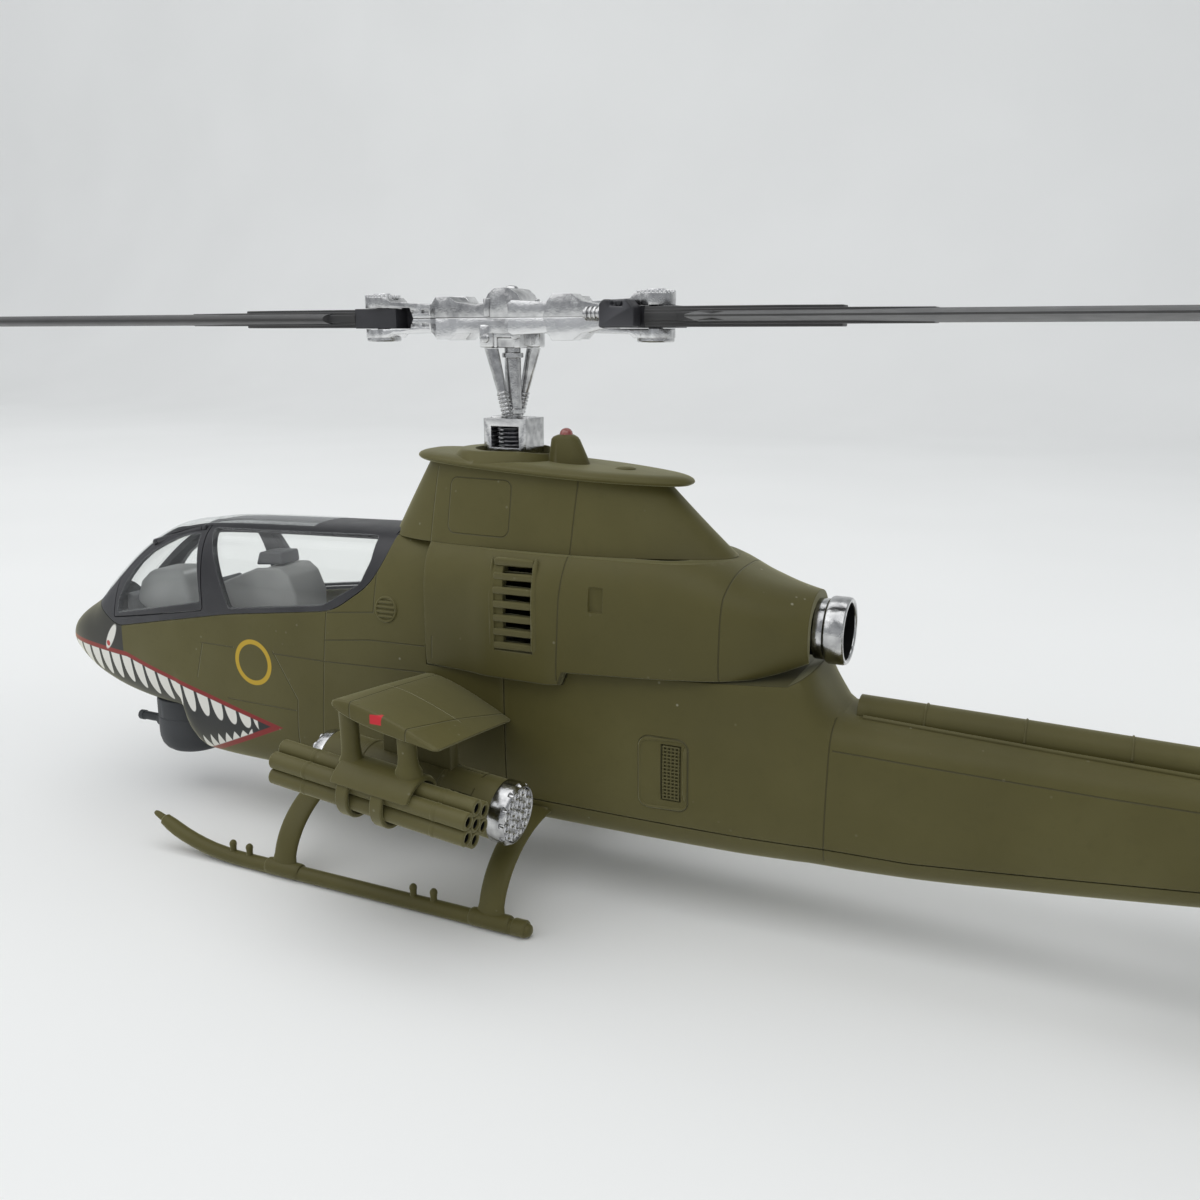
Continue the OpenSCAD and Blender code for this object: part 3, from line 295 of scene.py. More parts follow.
def mouth_marks(p, colour):
    """Black nose, a plain generic shark mouth with evenly spaced teeth, a plain eye and a ring."""
    x, z = p.x, p.z
    upper = ((x + 40.5) * -0.225 + 17.7).low((x + 74) * -0.02 + 25.0)
    lower = (x + 40.2) * 0.44 + 17.7
    below_upper = upper - z
    above_lower = z - lower
    past_chin = (x + 60.2) * 8.0
    mouth = (-below_upper).high((-above_lower).low(past_chin)).high(x + 40.2)
    mouth_wide = (-below_upper - 0.8).high(((-above_lower) - 0.95).low(past_chin)).high(x + 37.0)
    nose = (x + 73.7).high(upper - z)
    colour = p.blend(colour, BLACK, nose.inside(0.05))
    colour = p.blend(colour, (0.24, 0.016, 0.018), mouth_wide.inside(0.06))
    colour = p.blend(colour, (0.02, 0.022, 0.026), mouth.inside(0.05))
    # upper teeth
    lean = x - below_upper * 0.16
    phase = ((lean + 93.0) * (1 / TOOTH_PITCH_UPPER)).fract()
    across = (phase - 0.5).abs() * 2.0
    size = ((x + 71.0).abs() * (1 / 34.0)).power(2.0) * -4.3 + 4.6
    round_tip = (-(across * (1 / 0.8)).power(2.2) + 1.0).high(0.0).power(0.55)
    tooth = below_upper - size.high(0.0) * round_tip
    tooth = tooth.high(-below_upper).high(across - 0.8).high(x + 43.0)
    colour = p.blend(colour, TOOTH_WHITE, tooth.inside(0.09) * mouth.inside(0.05))
    # lower teeth, from the chin to the corner
    phase = ((x + 62.0) * (1 / TOOTH_PITCH_LOWER)).fract()
    across = (phase - 0.5).abs() * 2.0
    size = (x + 43.0) * -0.16 + 0.5
    tip = (-(across * (1 / 0.9)) + 1.0).high(0.0).power(0.8)
    tooth = above_lower - size * tip
    tooth = tooth.high(-above_lower).high(x + 44.5).high(-x - 59.6)
    colour = p.blend(colour, TOOTH_WHITE, tooth.inside(0.09))
    # eye: a plain slanted almond with a round pupil
    u = (x - EYE_X) * 0.83 - (z - EYE_Z) * 0.55
    v = (x - EYE_X) * 0.55 + (z - EYE_Z) * 0.83
    almond = ((u * (1 / 0.85)).power(2.0) + (v * (1 / 2.7)).power(2.0)).math("SQRT") - 1.0
    colour = p.blend(colour, TOOTH_WHITE, almond.inside(0.08))
    pupil = ((x + 77.9).power(2.0) + (z - 26.6).power(2.0)).math("SQRT") - 0.5
    colour = p.blend(colour, (0.5, 0.05, 0.05), pupil.inside(0.06))
    # yellow ring
    ring = ((x - RING_MARK_X).power(2.0) + (z - RING_MARK_Z).power(2.0)).math("SQRT") - RING_MARK_R
    colour = p.blend(colour, (0.52, 0.34, 0.025), (ring.abs() - 0.38).inside(0.05))
    return colour


def boom_grooves(p):
    d = p.lines(
        ((49.5, 31.0), (49.2, 12.0)),
        ((49.9, 27.7), (60, 27.3), (81, 26.6), (139, 25.6)),
        ((96.0, 26.4), (96.0, 13.0)),
    )
    panel = p.frame_line(24.0, 16.2, 31.1, 26.6, 1.5).abs()
    # the cowl's foot line is a real seam, widened by COWL_SHADOW into a painted shadow under the cowl's edge
    seam = p.lines(COWL_FOOT) - COWL_SHADOW
    return (d.low(panel).low(seam) - 0.07).inside(0.06)


COWL_FOOT = ((-9.7, 32.2), (12.5, 32.2), (13.35, 34.15), (43.7, 35.55), (46.2, 36.9))
# extra width of the dark line along the cowl's foot: a painted shadow under the cowl's edge
COWL_SHADOW = 0.12


def cowl_grooves(p):
    d = p.lines(
        ((13.6, 52.0), (12.9, 44.5), (12.4, 33.1)),
        ((36.0, 51.0), (35.2, 46.2), (35.0, 34.0)),
        ((-8.6, 33.4), (-8.4, 36.6)),
    )
    # the cowl's foot line is a real seam, widened by COWL_SHADOW into a painted shadow under the cowl's edge
    seam = p.lines(COWL_FOOT) - COWL_SHADOW
    return (d.low(seam) - 0.075).inside(0.06)


def fairing_grooves(p):
    panel = p.frame_line(-6.8, 51.6, 3.4, 59.4, 1.2).abs()
    d = p.lines(((-9.6, 60.5), (-9.8, 50)), ((13.2, 59.8), (13.0, 50)))
    return (d.low(panel) - 0.07).inside(0.06)


def fin_grooves(p):
    d = p.lines(
        ((152.5, 31), (170.4, 65.5)),
        ((146.0, 34.5), (166.6, 33.0)),
        ((159.5, 50.5), (174.2, 49.5)),
        ((160.0, 19), (164.5, 36), (173.6, 62)),
    )
    return (d - 0.075).inside(0.06)


def wing_grooves(p):
    """Spanwise and chordwise lines of a stub wing, seen from above."""
    span = p.y.abs()
    flap = (p.x - 3.0 + (span - 10) * 0.035).abs()
    nose_strip = (p.x + 8.0 - (span - 10) * 0.08).abs()
    rib = (span - 21.5).abs().high(-p.x - 8.5).high(p.x - 3.2)
    return (flap.low(nose_strip).low(rib) - 0.07).inside(0.06)


def wing_marks(p, colour):
    """A painted position light on each tip, red to port and green to starboard."""
    tip = node_mm("wing_right")[1].y
    face = (-p.y.abs() + (tip - 0.75)).high((p.x + 2.2).abs() - 0.85).high((p.z - 32.0).abs() - 0.6)
    lamp = face.inside(0.06)
    port = p.blend(colour, (0.55, 0.018, 0.03), lamp * (p.y.inside(0.1)))
    return p.blend(port, (0.02, 0.22, 0.06), lamp * ((-p.y).inside(0.1)))


def satin(name, low, high, roughness, grain=0.3, depth=0.02, specular=0.4, edge=0.08, wear=None):
    """Satin plastic or paint with a slow tone change, faint grain and lighter worn edges."""
    p = Paint(name)
    tone = p.noise(9, 4.0)
    colour = p.ramp(tone, (0.3, low), (0.75, high))
    worn = ((p.pointiness() - 0.53) * 6.0).clamp()
    colour = p.blend(colour, wear or tuple(min(1, 2.2 * c + 0.02) for c in high), worn * 0.6)
    p.colour(colour)
    p.roughness(p.noise(2.5, 3.0) * 0.14 + (roughness - 0.07))
    p.set(Specular_IOR_Level=specular)
    p.relief(p.noise(grain, 2.0), depth, edge)
    return p.material


def plated(name, low, high, roughness, depth):
    """Vacuum-plated plastic: bright, slightly wavy, with duller patches, a painted highlight on convex edges
    and painted shade in hollows.
    """
    p = Paint(name)
    tone = p.noise(1.2, 4.0)
    colour = p.ramp(tone, (0.3, low), (0.7, high))
    # convex edges are painted lighter as a painted highlight, hollows painted near-black as painted shade
    edge = ((p.pointiness() - 0.52) * 5.0).clamp()
    hollow = ((-p.pointiness() + 0.49) * 9.0).clamp()
    colour = p.blend(colour, (0.85, 0.85, 0.85), edge * 0.8)
    colour = p.blend(colour, (0.06, 0.06, 0.065), hollow * 0.85)
    p.colour(colour)
    p.roughness(p.noise(0.8, 3.0) * 0.15 + roughness)
    p.set(Metallic=1.0)
    p.relief(p.noise(0.7, 3.0) + p.noise(0.18, 2.0) * 0.4, depth, 0.1)
    return p.material


def clear_plastic(name):
    """Thin clear moulding: mostly see-through, glossier towards grazing angles, faint haze and swirls."""
    p = Paint(name)
    p.tree.nodes.remove(p.shader)
    through = p.node("BsdfTransparent")
    through.inputs["Color"].default_value = (0.985, 0.99, 0.985, 1)
    gloss = p.node("BsdfGlossy")
    gloss.inputs["Color"].default_value = (0.95, 0.96, 0.97, 1)
    p.link((p.noise(5, 3.0) * 0.05 + 0.03).socket, gloss.inputs["Roughness"])
    haze = p.node("BsdfDiffuse")
    haze.inputs["Color"].default_value = (0.82, 0.84, 0.84, 1)
    facing = p.node("LayerWeight")
    facing.inputs["Blend"].default_value = 0.5
    grazing = Field(p.tree, facing.outputs["Facing"])
    shine = p.node("MixShader")
    level = (grazing.power(5.0) * 0.6 + 0.03).clamp()
    p.link(level.socket, shine.inputs[0])
    p.link(through.outputs[0], shine.inputs[1])
    p.link(gloss.outputs[0], shine.inputs[2])
    veil = p.node("MixShader")
    milky = (p.noise(8, 4.0) * 0.02 + grazing.power(4.0) * 0.15).clamp()
    p.link(milky.socket, veil.inputs[0])
    p.link(shine.outputs[0], veil.inputs[1])
    p.link(haze.outputs[0], veil.inputs[2])
    p.link(veil.outputs[0], p.output.inputs["Surface"])
    return p.material


def red_lamp(name):
    p = Paint(name)
    p.colour(p.ramp(p.noise(0.5), (0.3, (0.26, 0.06, 0.05)), (0.7, (0.4, 0.13, 0.11))))
    p.roughness(p.noise(0.4) * 0.1 + 0.12)
    p.set(Coat_Weight=0.6, Specular_IOR_Level=0.6)
    p.relief(p.noise(0.3), 0.01)
    return p.material


MATERIAL = {
    "olive": olive_paint("olive_paint"),
    "hull": olive_paint("olive_paint_nose", hull_grooves, mouth_marks),
    "boom": olive_paint("olive_paint_boom", boom_grooves, dust=0.7),
    "cowl": olive_paint("olive_paint_cowl", cowl_grooves, dust=0.8),
    "fairing": olive_paint("olive_paint_fairing", fairing_grooves, dust=0.4),
    "fin": olive_paint("olive_paint_fin", fin_grooves),
    "wing": olive_paint("olive_paint_wing", wing_grooves, wing_marks, dust=0.3),
    "black": satin("black_paint", (0.018, 0.018, 0.021), (0.032, 0.032, 0.036), 0.42, specular=0.45),
    "turret": satin("turret_paint", (0.03, 0.033, 0.036), (0.048, 0.051, 0.055), 0.5),
    "blade": satin("blade_satin", (0.034, 0.034, 0.035), (0.052, 0.051, 0.050), 0.42,
                   depth=0.012, specular=0.3),
    "plated": plated("bright_plating", (0.32, 0.32, 0.325), (0.62, 0.62, 0.615), 0.1, 0.03),
    "rough_plated": plated("cast_plating", (0.4, 0.4, 0.42), (0.85, 0.85, 0.85), 0.2, 0.16),
    "dark_plated": plated("dark_plating", (0.2, 0.2, 0.22), (0.42, 0.42, 0.44), 0.22, 0.03),
    "steel": plated("steel", (0.3, 0.3, 0.31), (0.5, 0.5, 0.5), 0.3, 0.02),
    "bronze": plated("bronze", (0.42, 0.28, 0.11), (0.6, 0.43, 0.2), 0.28, 0.02),
    "tub": satin("cockpit_gray", (0.1, 0.104, 0.108), (0.15, 0.155, 0.16), 0.55),
    "headrest": satin("headrest_gray", (0.055, 0.057, 0.06), (0.085, 0.088, 0.09), 0.5),
    "seat": satin("seat_gray", (0.3, 0.3, 0.295), (0.42, 0.42, 0.41), 0.55, wear=(0.5, 0.5, 0.49)),
    "gunner": satin("gunner_gray", (0.30, 0.305, 0.30), (0.42, 0.425, 0.42), 0.5),
    # near-black, darker than any paint: painted shade for the inside of the exhaust and the launch tubes
    "soot": satin("soot_black", (0.003, 0.003, 0.003), (0.007, 0.007, 0.007), 0.8, specular=0.08),
    "ballast": satin("ballast_iron", (0.08, 0.08, 0.08), (0.14, 0.14, 0.14), 0.7),
    "lamp": red_lamp("red_lens"),
    "clear": clear_plastic("clear_plastic"),
}

# ---------------------------------------------------------------- mesh helpers
def mesh_object(points, faces, name="work"):
    mesh = bpy.data.meshes.new(name)
    mesh.from_pydata([tuple(p) for p in points], [], [tuple(f) for f in faces])
    mesh.validate()
    obj = bpy.data.objects.new(name, mesh)
    bpy.context.scene.collection.objects.link(obj)
    build = bmesh.new()
    build.from_mesh(mesh)
    bmesh.ops.recalc_face_normals(build, faces=build.faces)
    build.to_mesh(mesh)
    build.free()
    return obj


def remove(*objects):
    for obj in objects:
        mesh = obj.data
        bpy.data.objects.remove(obj)
        if mesh is not None and mesh.users == 0:
            bpy.data.meshes.remove(mesh)


def apply_modifiers(obj):
    graph = bpy.context.evaluated_depsgraph_get()
    mesh = bpy.data.meshes.new_from_object(obj.evaluated_get(graph))
    old = obj.data
    obj.modifiers.clear()
    obj.data = mesh
    bpy.data.meshes.remove(old)
    return obj


def combine(base, operation, tools):
    """Changes base by a boolean with each tool in turn, and uses the tools up."""
    for tool in tools:
        modifier = base.modifiers.new("cut", "BOOLEAN")
        modifier.operation = operation
        modifier.solver = "MANIFOLD"
        modifier.object = tool
        apply_modifiers(base)
        remove(tool)
    return base


def cut(base, *tools):
    return combine(base, "DIFFERENCE", tools)


def common(base, *tools):
    return combine(base, "INTERSECT", tools)


def fuse(base, *tools):
    return combine(base, "UNION", tools)


def copy(obj):
    twin = obj.copy()
    twin.data = obj.data.copy()
    bpy.context.scene.collection.objects.link(twin)
    return twin


def merge(*objects):
    """Several closed meshes as one object, left as separate shells."""
    build = bmesh.new()
    for obj in objects:
        part = obj.data.copy()
        part.transform(obj.matrix_world)
        build.from_mesh(part)
        bpy.data.meshes.remove(part)
    mesh = bpy.data.meshes.new("merged")
    build.to_mesh(mesh)
    build.free()
    remove(*objects)
    obj = bpy.data.objects.new("merged", mesh)
    bpy.context.scene.collection.objects.link(obj)
    return obj


def moved(obj, matrix):
    obj.data.transform(matrix)
    if matrix.determinant() < 0:
        obj.data.flip_normals()
    return obj


def raised(obj, z):
    return moved(obj, Matrix.Translation((0, 0, z)))


def on_side(obj, sign):
    """The piece as it was made for +y, or its mirror image where sign is -1."""
    return obj if sign > 0 else moved(obj, Matrix.Diagonal((1, -1, 1, 1)))


def round_angles(count, start=0):
    """Angles evenly round a circle, start steps from 0."""
    return [2 * pi * (i + start) / count for i in range(count)]


def spokes(count, step, start=0):
    """Angles step degrees apart."""
    return [radians(step * k + start) for k in range(count)]


def skin(rings):
    """A closed body from rings with equal numbers of points."""
    n, sides = len(rings), len(rings[0])
    faces = [
        (k * sides + i, k * sides + (i + 1) % sides, (k + 1) * sides + (i + 1) % sides, (k + 1) * sides + i)
        for k in range(n - 1)
        for i in range(sides)
    ]
    faces.append(tuple(range(sides - 1, -1, -1)))
    faces.append(tuple((n - 1) * sides + i for i in range(sides)))
    return mesh_object([p for ring in rings for p in ring], faces)


def prism(points, low, high, axis):
    """A flat outline given thickness along axis: 1 for a side view (x, z), 2 for a plan (x, y)."""
    order = {1: lambda a, b, t: (a, t, b), 2: lambda a, b, t: (a, b, t)}[axis]
    return skin([[order(a, b, t) for a, b in points] for t in (low, high)])


def side(points, low, high):
    return prism(points, low, high, 1)


def block(low, high):
    (x0, y0, z0), (x1, y1, z1) = low, high
    return prism([(x0, y0), (x1, y0), (x1, y1), (x0, y1)], z0, z1, 2)


def rounded(points, radius, steps=4):
    """The outline with its corners rounded."""
    out = []
    count = len(points)
    for k in range(count):
        before, here, after = (Vector(points[(k + d) % count]) for d in (-1, 0, 1))
        into, onward = here - before, after - here
        reach = min(radius, into.length * 0.45, onward.length * 0.45)
        start, end = here - into.normalized() * reach, here + onward.normalized() * reach
        for step in range(steps + 1):
            t = step / steps
            out.append(tuple(start * (1 - t) ** 2 + here * 2 * t * (1 - t) + end * t * t))
    return out


def lathe(profile, axis=(0, 0, 1), at=(0, 0, 0), sides=96):
    """A profile of (radius, height) turned round an axis through at. Its ends close on the axis."""
    rings = [[(r * cos(a), r * sin(a), h) for a in round_angles(sides)] for r, h in profile]
    turn = Vector((0, 0, 1)).rotation_difference(Vector(axis)).to_matrix().to_4x4()
    return moved(skin(rings), Matrix.Translation(at) @ turn)


def rod(start, end, radius, end_radius=None, sides=32, soft=0.12):
    """A round bar with slightly rounded ends."""
    start, end = Vector(start), Vector(end)
    length = (end - start).length
    other = radius if end_radius is None else end_radius
    soft = min(soft, radius * 0.5, length * 0.3)
    profile = [(radius - soft, 0), (radius - soft * 0.3, soft * 0.3), (radius, soft)]
    profile += [(other, length - soft), (other - soft * 0.3, length - soft * 0.3), (other - soft, length)]
    return lathe(profile, (end - start).normalized(), start, sides)


def tube_along(points, radii, sides=24):
    """A round tube along a path, turning as little as it can."""
    path = [Vector(p) for p in points]
    normal = None
    rings = []
    for k, here in enumerate(path):
        ahead = (path[min(k + 1, len(path) - 1)] - path[max(k - 1, 0)]).normalized()
        if normal is None:
            normal = ahead.orthogonal().normalized()
        normal = (normal - ahead * normal.dot(ahead)).normalized()
        other = ahead.cross(normal)
        r = radii[k] if hasattr(radii, "__len__") else radii
        rings.append([here + (normal * cos(a) + other * sin(a)) * r for a in round_angles(sides)])
    return skin(rings)


def bevelled(obj, width, segments=2, angle=30):
    modifier = obj.modifiers.new("edge", "BEVEL")
    modifier.width = width
    modifier.segments = segments
    modifier.limit_method = "ANGLE"
    modifier.angle_limit = radians(angle)
    return apply_modifiers(obj)


def soft_block(low, high, width=0.15, segments=3):
    return bevelled(block(low, high), width, segments)


def shade(obj, angle=32):
    obj.data.polygons.foreach_set("use_smooth", [True] * len(obj.data.polygons))
    obj.data.set_sharp_from_angle(angle=radians(angle))


def place(obj, name, body, material, slot, *nodes, angle=32):
    """Finishes a piece: its name, metres in the row frame, shading, material, body and CAD nodes."""
    obj.name = obj.data.name = name
    obj.data.transform(TO_ROW)
    obj.data.materials.clear()
    obj.data.materials.append(MATERIAL[material])
    shade(obj, angle)
    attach(obj, body)
    if nodes:
        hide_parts(*nodes)
    return obj


def from_cad(node, width=0.1, segments=2):
    """A copy of a CAD node's mesh with its flat faces joined and its edges rounded."""
    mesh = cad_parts[node].data.copy()
    mesh.transform(TO_ROW.inverted())
    build = bmesh.new()
    build.from_mesh(mesh)
    bmesh.ops.remove_doubles(build, verts=build.verts, dist=0.002)
    bmesh.ops.dissolve_limit(build, angle_limit=radians(0.6), verts=build.verts, edges=build.edges)
    bmesh.ops.recalc_face_normals(build, faces=build.faces)
    clean = bpy.data.meshes.new("clean")
    build.to_mesh(clean)
    build.free()
    bpy.data.meshes.remove(mesh)
    obj = bpy.data.objects.new("clean", clean)
    bpy.context.scene.collection.objects.link(obj)
    return bevelled(obj, width, segments) if width else obj


# ---------------------------------------------------------------- sections
# [x, half width, bottom, widest height, top, lower and upper roundness]
BODY = [
    [-92.5, 0.5, 24.9, 25.7, 26.5, 2.0, 2.0], [-92.0, 1.9, 23.7, 25.7, 27.7, 2.0, 2.0],
    [-90.8, 3.2, 22.6, 25.7, 29.1, 2.0, 2.0], [-88.6, 4.4, 21.3, 25.7, 30.7, 2.1, 2.0],
    [-86.0, 5.4, 20.0, 25.8, 32.2, 2.3, 2.0], [-83.8, 6.0, 19.1, 25.9, 33.6, 2.5, 2.0],
    [-80.0, 6.8, 18.0, 26.0, 37.2, 2.7, 2.1], [-76.0, 7.5, 17.2, 26.2, 40.7, 2.9, 2.2],
    [-71.0, 8.2, 16.5, 26.5, 44.2, 3.0, 2.5], [-66.0, 8.8, 16.0, 26.8, 46.9, 3.0, 2.8],
    [-61.0, 9.2, 15.6, 27.2, 48.7, 3.0, 3.1], [-59.8, 9.3, 10.2, 27.4, 48.8, 3.0, 3.1],
    [-58.0, 9.4, 9.0, 27.6, 49.1, 3.2, 3.2], [-54.0, 9.5, 8.9, 27.8, 49.6, 3.4, 3.3],
    [-46.0, 9.8, 9.1, 28.0, 50.0, 3.8, 3.3], [-34.0, 10.0, 9.2, 28.0, 50.4, 4.0, 3.3],
    [-20.0, 10.0, 9.2, 28.0, 50.8, 4.2, 3.3], [-9.0, 10.0, 9.2, 28.0, 51.0, 4.2, 3.3],
    [3.5, 10.0, 9.2, 28.0, 51.0, 4.2, 3.3],
]
BOOM = [
    [3.1, 10.0, 9.2, 28.0, 36.0, 4.2, 5.0], [20.0, 10.0, 9.3, 28.0, 38.0, 4.2, 5.0],
    [36.0, 9.6, 9.5, 27.0, 38.6, 4.2, 4.5], [45.0, 8.9, 9.7, 26.0, 38.0, 4.0, 4.0],
    [47.0, 8.6, 9.8, 25.5, 35.0, 4.0, 3.5], [49.9, 8.25, 9.8, 25.0, 31.2, 4.0, 3.2],
    [58.0, 7.9, 10.0, 24.5, 30.8, 3.8, 3.2], [75.0, 7.2, 11.4, 24.0, 30.1, 3.6, 3.2],
    [92.0, 6.4, 13.1, 24.0, 29.5, 3.4, 3.2], [112.0, 5.4, 15.3, 23.8, 28.9, 3.2, 3.1],
    [132.0, 4.3, 17.7, 23.8, 28.4, 3.0, 3.0], [149.0, 3.2, 20.0, 24.0, 28.0, 2.8, 2.8],
    [154.0, 2.2, 21.5, 24.2, 27.4, 2.4, 2.4],
]
COWL = [
    [-9.6, 10.2, 30.0, 40.0, 52.0, 8, 3.2], [-2.0, 11.2, 30.0, 40.5, 52.0, 8, 3.2],
    [2.0, 12.0, 30.0, 41.0, 52.2, 8, 3.2], [10.5, 12.1, 30.0, 41.0, 52.4, 8, 3.2],
    [13.0, 11.8, 31.0, 41.2, 52.5, 7, 3.2], [25.0, 11.4, 32.0, 41.6, 52.4, 6, 3.0],
    [33.0, 10.6, 33.0, 41.8, 50.3, 5, 2.8], [38.0, 9.3, 34.0, 41.8, 48.2, 4, 2.6],
    [42.5, 7.2, 35.2, 41.6, 47.0, 3, 2.3], [46.0, 5.2, 36.6, 41.5, 46.4, 2.2, 2.1],
]
COVER = [
    [51.5, 2.4, 28.6, 30.6, 33.0, 2.0, 2.2], [62.0, 2.3, 28.0, 30.2, 32.8, 2.0, 2.2],
    [92.0, 2.1, 27.0, 29.4, 32.0, 2.0, 2.2], [120.0, 2.0, 26.0, 28.6, 31.2, 2.0, 2.2],
    [156.0, 1.6, 25.0, 27.4, 30.2, 2.0, 2.2],
]


def in_between(rows, step):
    """More sections, on a curve through the given ones that doesn't overshoot them."""
    a = np.array(rows, float)
    gap = np.diff(a[:, 0])
    slope = np.diff(a, axis=0) / gap[:, None]
    tangent = np.zeros_like(a)
    product = slope[:-1] * slope[1:]
    with np.errstate(divide="ignore", invalid="ignore"):
        harmonic = 2 * product / (slope[:-1] + slope[1:])
    tangent[1:-1] = np.where(product > 0, harmonic, 0)
    tangent[0], tangent[-1] = slope[0], slope[-1]
    out = []
    for k, width in enumerate(gap):
        parts = max(1, ceil(width / step))
        for t in (j / parts for j in range(parts)):
            out.append(
                (2 * t ** 3 - 3 * t * t + 1) * a[k] + (t ** 3 - 2 * t * t + t) * width * tangent[k]
                + (3 * t * t - 2 * t ** 3) * a[k + 1] + (t ** 3 - t * t) * width * tangent[k + 1]
            )
            out[-1][0] = a[k][0] + t * width
    return out + [a[-1]]


def section_ring(row, inset, sides):
    x, half, bottom, middle, top, low_n, up_n = row
    ring = []
    for a in round_angles(sides, 0.5):
        c, s = cos(a), sin(a)
        n = low_n if s < 0 else up_n
        height = max((middle - bottom if s < 0 else top - middle) - inset, 0.05)
        width = max(half - inset, 0.05)
        ring.append((x, width * copysign(abs(c) ** (2 / n), c),
                     middle + height * copysign(abs(s) ** (2 / n), s)))
    return ring


def loft(rows, inset=0.0, sides=112, step=1.2):
    return skin([section_ring(r, inset, sides) for r in in_between(rows, step)])


def surface_y(rows, x, z):
    """Half width of a lofted body at a point of its side view."""
    table = np.array(in_between(rows, 1.2))
    row = [np.interp(x, table[:, 0], table[:, k]) for k in range(7)]
    _, half, bottom, middle, top, low_n, up_n = row
    n = low_n if z < middle else up_n
    reach = abs(z - middle) / ((middle - bottom) if z < middle else (top - middle))
    return half * max(0.0, 1 - reach ** n) ** (1 / n)


# ---------------------------------------------------------------- hull and canopy
# seams between castings, their walls, and where they meet along x, in millimetres
SEAM = 0.2
WALL = 1.3
FRONT_SEAM = -9.7
MID_SEAM = 3.2
TAIL_X = 140.0
TURRET_X = -66.3
TURRET_TOP = 17.4
GUN_Z = 12.2
SILL = rounded([(-90, 36.3), (-84.4, 33.8), (-76.2, 30.6), (-74.1, 30.2), (-63.7, 32.4), (-47.5, 35.5),
                (-26.6, 38.2), (-19.7, 42.9), (-17.1, 47.9), (-17.0, 60)], 2.4)[5:-5]
BOX = 20
SHARP = 0.01
FRONT_LEG_X, REAR_LEG_X = -28.0, 7.6
ELEVATOR_X, ELEVATOR_Z = 106.5, 24.6
LOUVRE_PITCH = 1.95
SIDES = ((1, "right"), (-1, "left"))


def leg_tunnel(x):
    return block((x - 1.8, -12, 11.3), (x + 1.8, 12, 12.7))


def turned_cylinder(x, y, z0, z1, radius, sides=96):
    """An upright cylinder, mostly a tool for a bore."""
    return rod((x, y, z0), (x, y, z1), radius, sides=sides, soft=SHARP)


def round_vent(sign):
    """A round louvred vent on the shoulder: a raised rim with four slats."""
    x, z, r = -16.7, 39.6, 1.75
    parts, rim = [], []
    for a in round_angles(48):
        px, pz = x + r * cos(a), z + 1.02 * r * sin(a)
        rim.append((px, sign * (surface_y(BODY, px, pz) + 0.03), pz))
    parts.append(tube_along(rim + [rim[0]], 0.2, 12))
    for k in range(4):
        h = z - 1.05 + 0.7 * k
        reach = sqrt(max(r * r - (h - z) ** 2, 0.1)) - 0.12
        y = sign * (surface_y(BODY, x, h) + 0.02)
        bar = soft_block((x - reach, -0.22, -0.2), (x + reach, 0.22, 0.2), 0.12)
        tilt = Matrix.Rotation(radians(28 * sign), 4, "X")
        parts.append(moved(bar, Matrix.Translation((0, y, h)) @ tilt))
    return parts


def make_front():
    outline = [(-95, 5), (-95, 36.3)] + SILL + [
        (-17.1, 50), (FRONT_SEAM - SEAM / 2, 50), (FRONT_SEAM - SEAM / 2, 32.1),
        (MID_SEAM - SEAM / 2, 32.1), (MID_SEAM - SEAM / 2, 5)]
    hull = common(loft(BODY), side(outline, -BOX, BOX))
    opening = common(
        loft([r for r in BODY if -90 < r[0] < 1], WALL, 72),
        side([(-87, 5), (-2, 5), (-2, 30), (-12, 30), (-12, 47), (-19, 47), (-19, 60), (-87, 60)], -BOX, BOX))
    cut(hull, opening, turned_cylinder(TURRET_X, 0, 5, TURRET_TOP, 7))
    floor = common(loft([r for r in BODY if r[0] < -50], 0.4, 72),
                   turned_cylinder(TURRET_X, 0, TURRET_TOP, TURRET_TOP + 1.6, 9))
    fuse(hull, floor)
    cut(hull, turned_cylinder(TURRET_X, 0, 10, 22, 2.05, 64), leg_tunnel(FRONT_LEG_X))
    parts = [hull] + round_vent(1) + round_vent(-1)
    place(merge(*parts), "nose_casting", "airframe", "hull", "olive_metal", "forward_fuselage")


CANOPY_ROWS = [r for r in BODY if -87 < r[0] < 0]
CANOPY_T = 0.9
STRIP_Y = 4.3
STRIP_END = -33.5
RAIL_Y = 4.9
DOOR_Y = 5.06
FRONT_PANE = rounded([(-74.7, 32.5), (-53.6, 36.9), (-55.0, 47.6), (-57, 47.3), (-60, 46.5), (-64, 44.8),
                      (-67.0, 43.3), (-69.9, 41.2), (-72.0, 39.1), (-73.7, 36.8), (-74.7, 34.6)], 0.5)
REAR_PANE = rounded([(-47.2, 36.7), (-27.5, 39.2), (-20.6, 44.4), (-19.7, 48.3), (-51.7, 47.5)], 0.7)
REAR_PANE_LEFT = rounded([(-47.4, 36.5), (-28.4, 39.0), (-21.6, 42.9), (-20.1, 46.4), (-20.1, 49.7),
                          (-52.7, 48.5)], 0.7)
FRONT_DOOR = rounded([(-76.0, 31.4), (-53.0, 35.5), (-54.2, 60), (-66.5, 60), (-76.0, 38.5)], 0.7)
REAR_DOOR = rounded([(-48.6, 35.9), (-26.8, 38.7), (-19.2, 43.9), (-18.4, 46.0), (-18.4, 60), (-53.2, 60),
                     (-53.2, 48.5)], 0.7)
HINGE_Y = 5.25
FRONT_HINGE = (Vector((-66.6, HINGE_Y, 45.1)), Vector((-54.6, HINGE_Y, 48.4)))
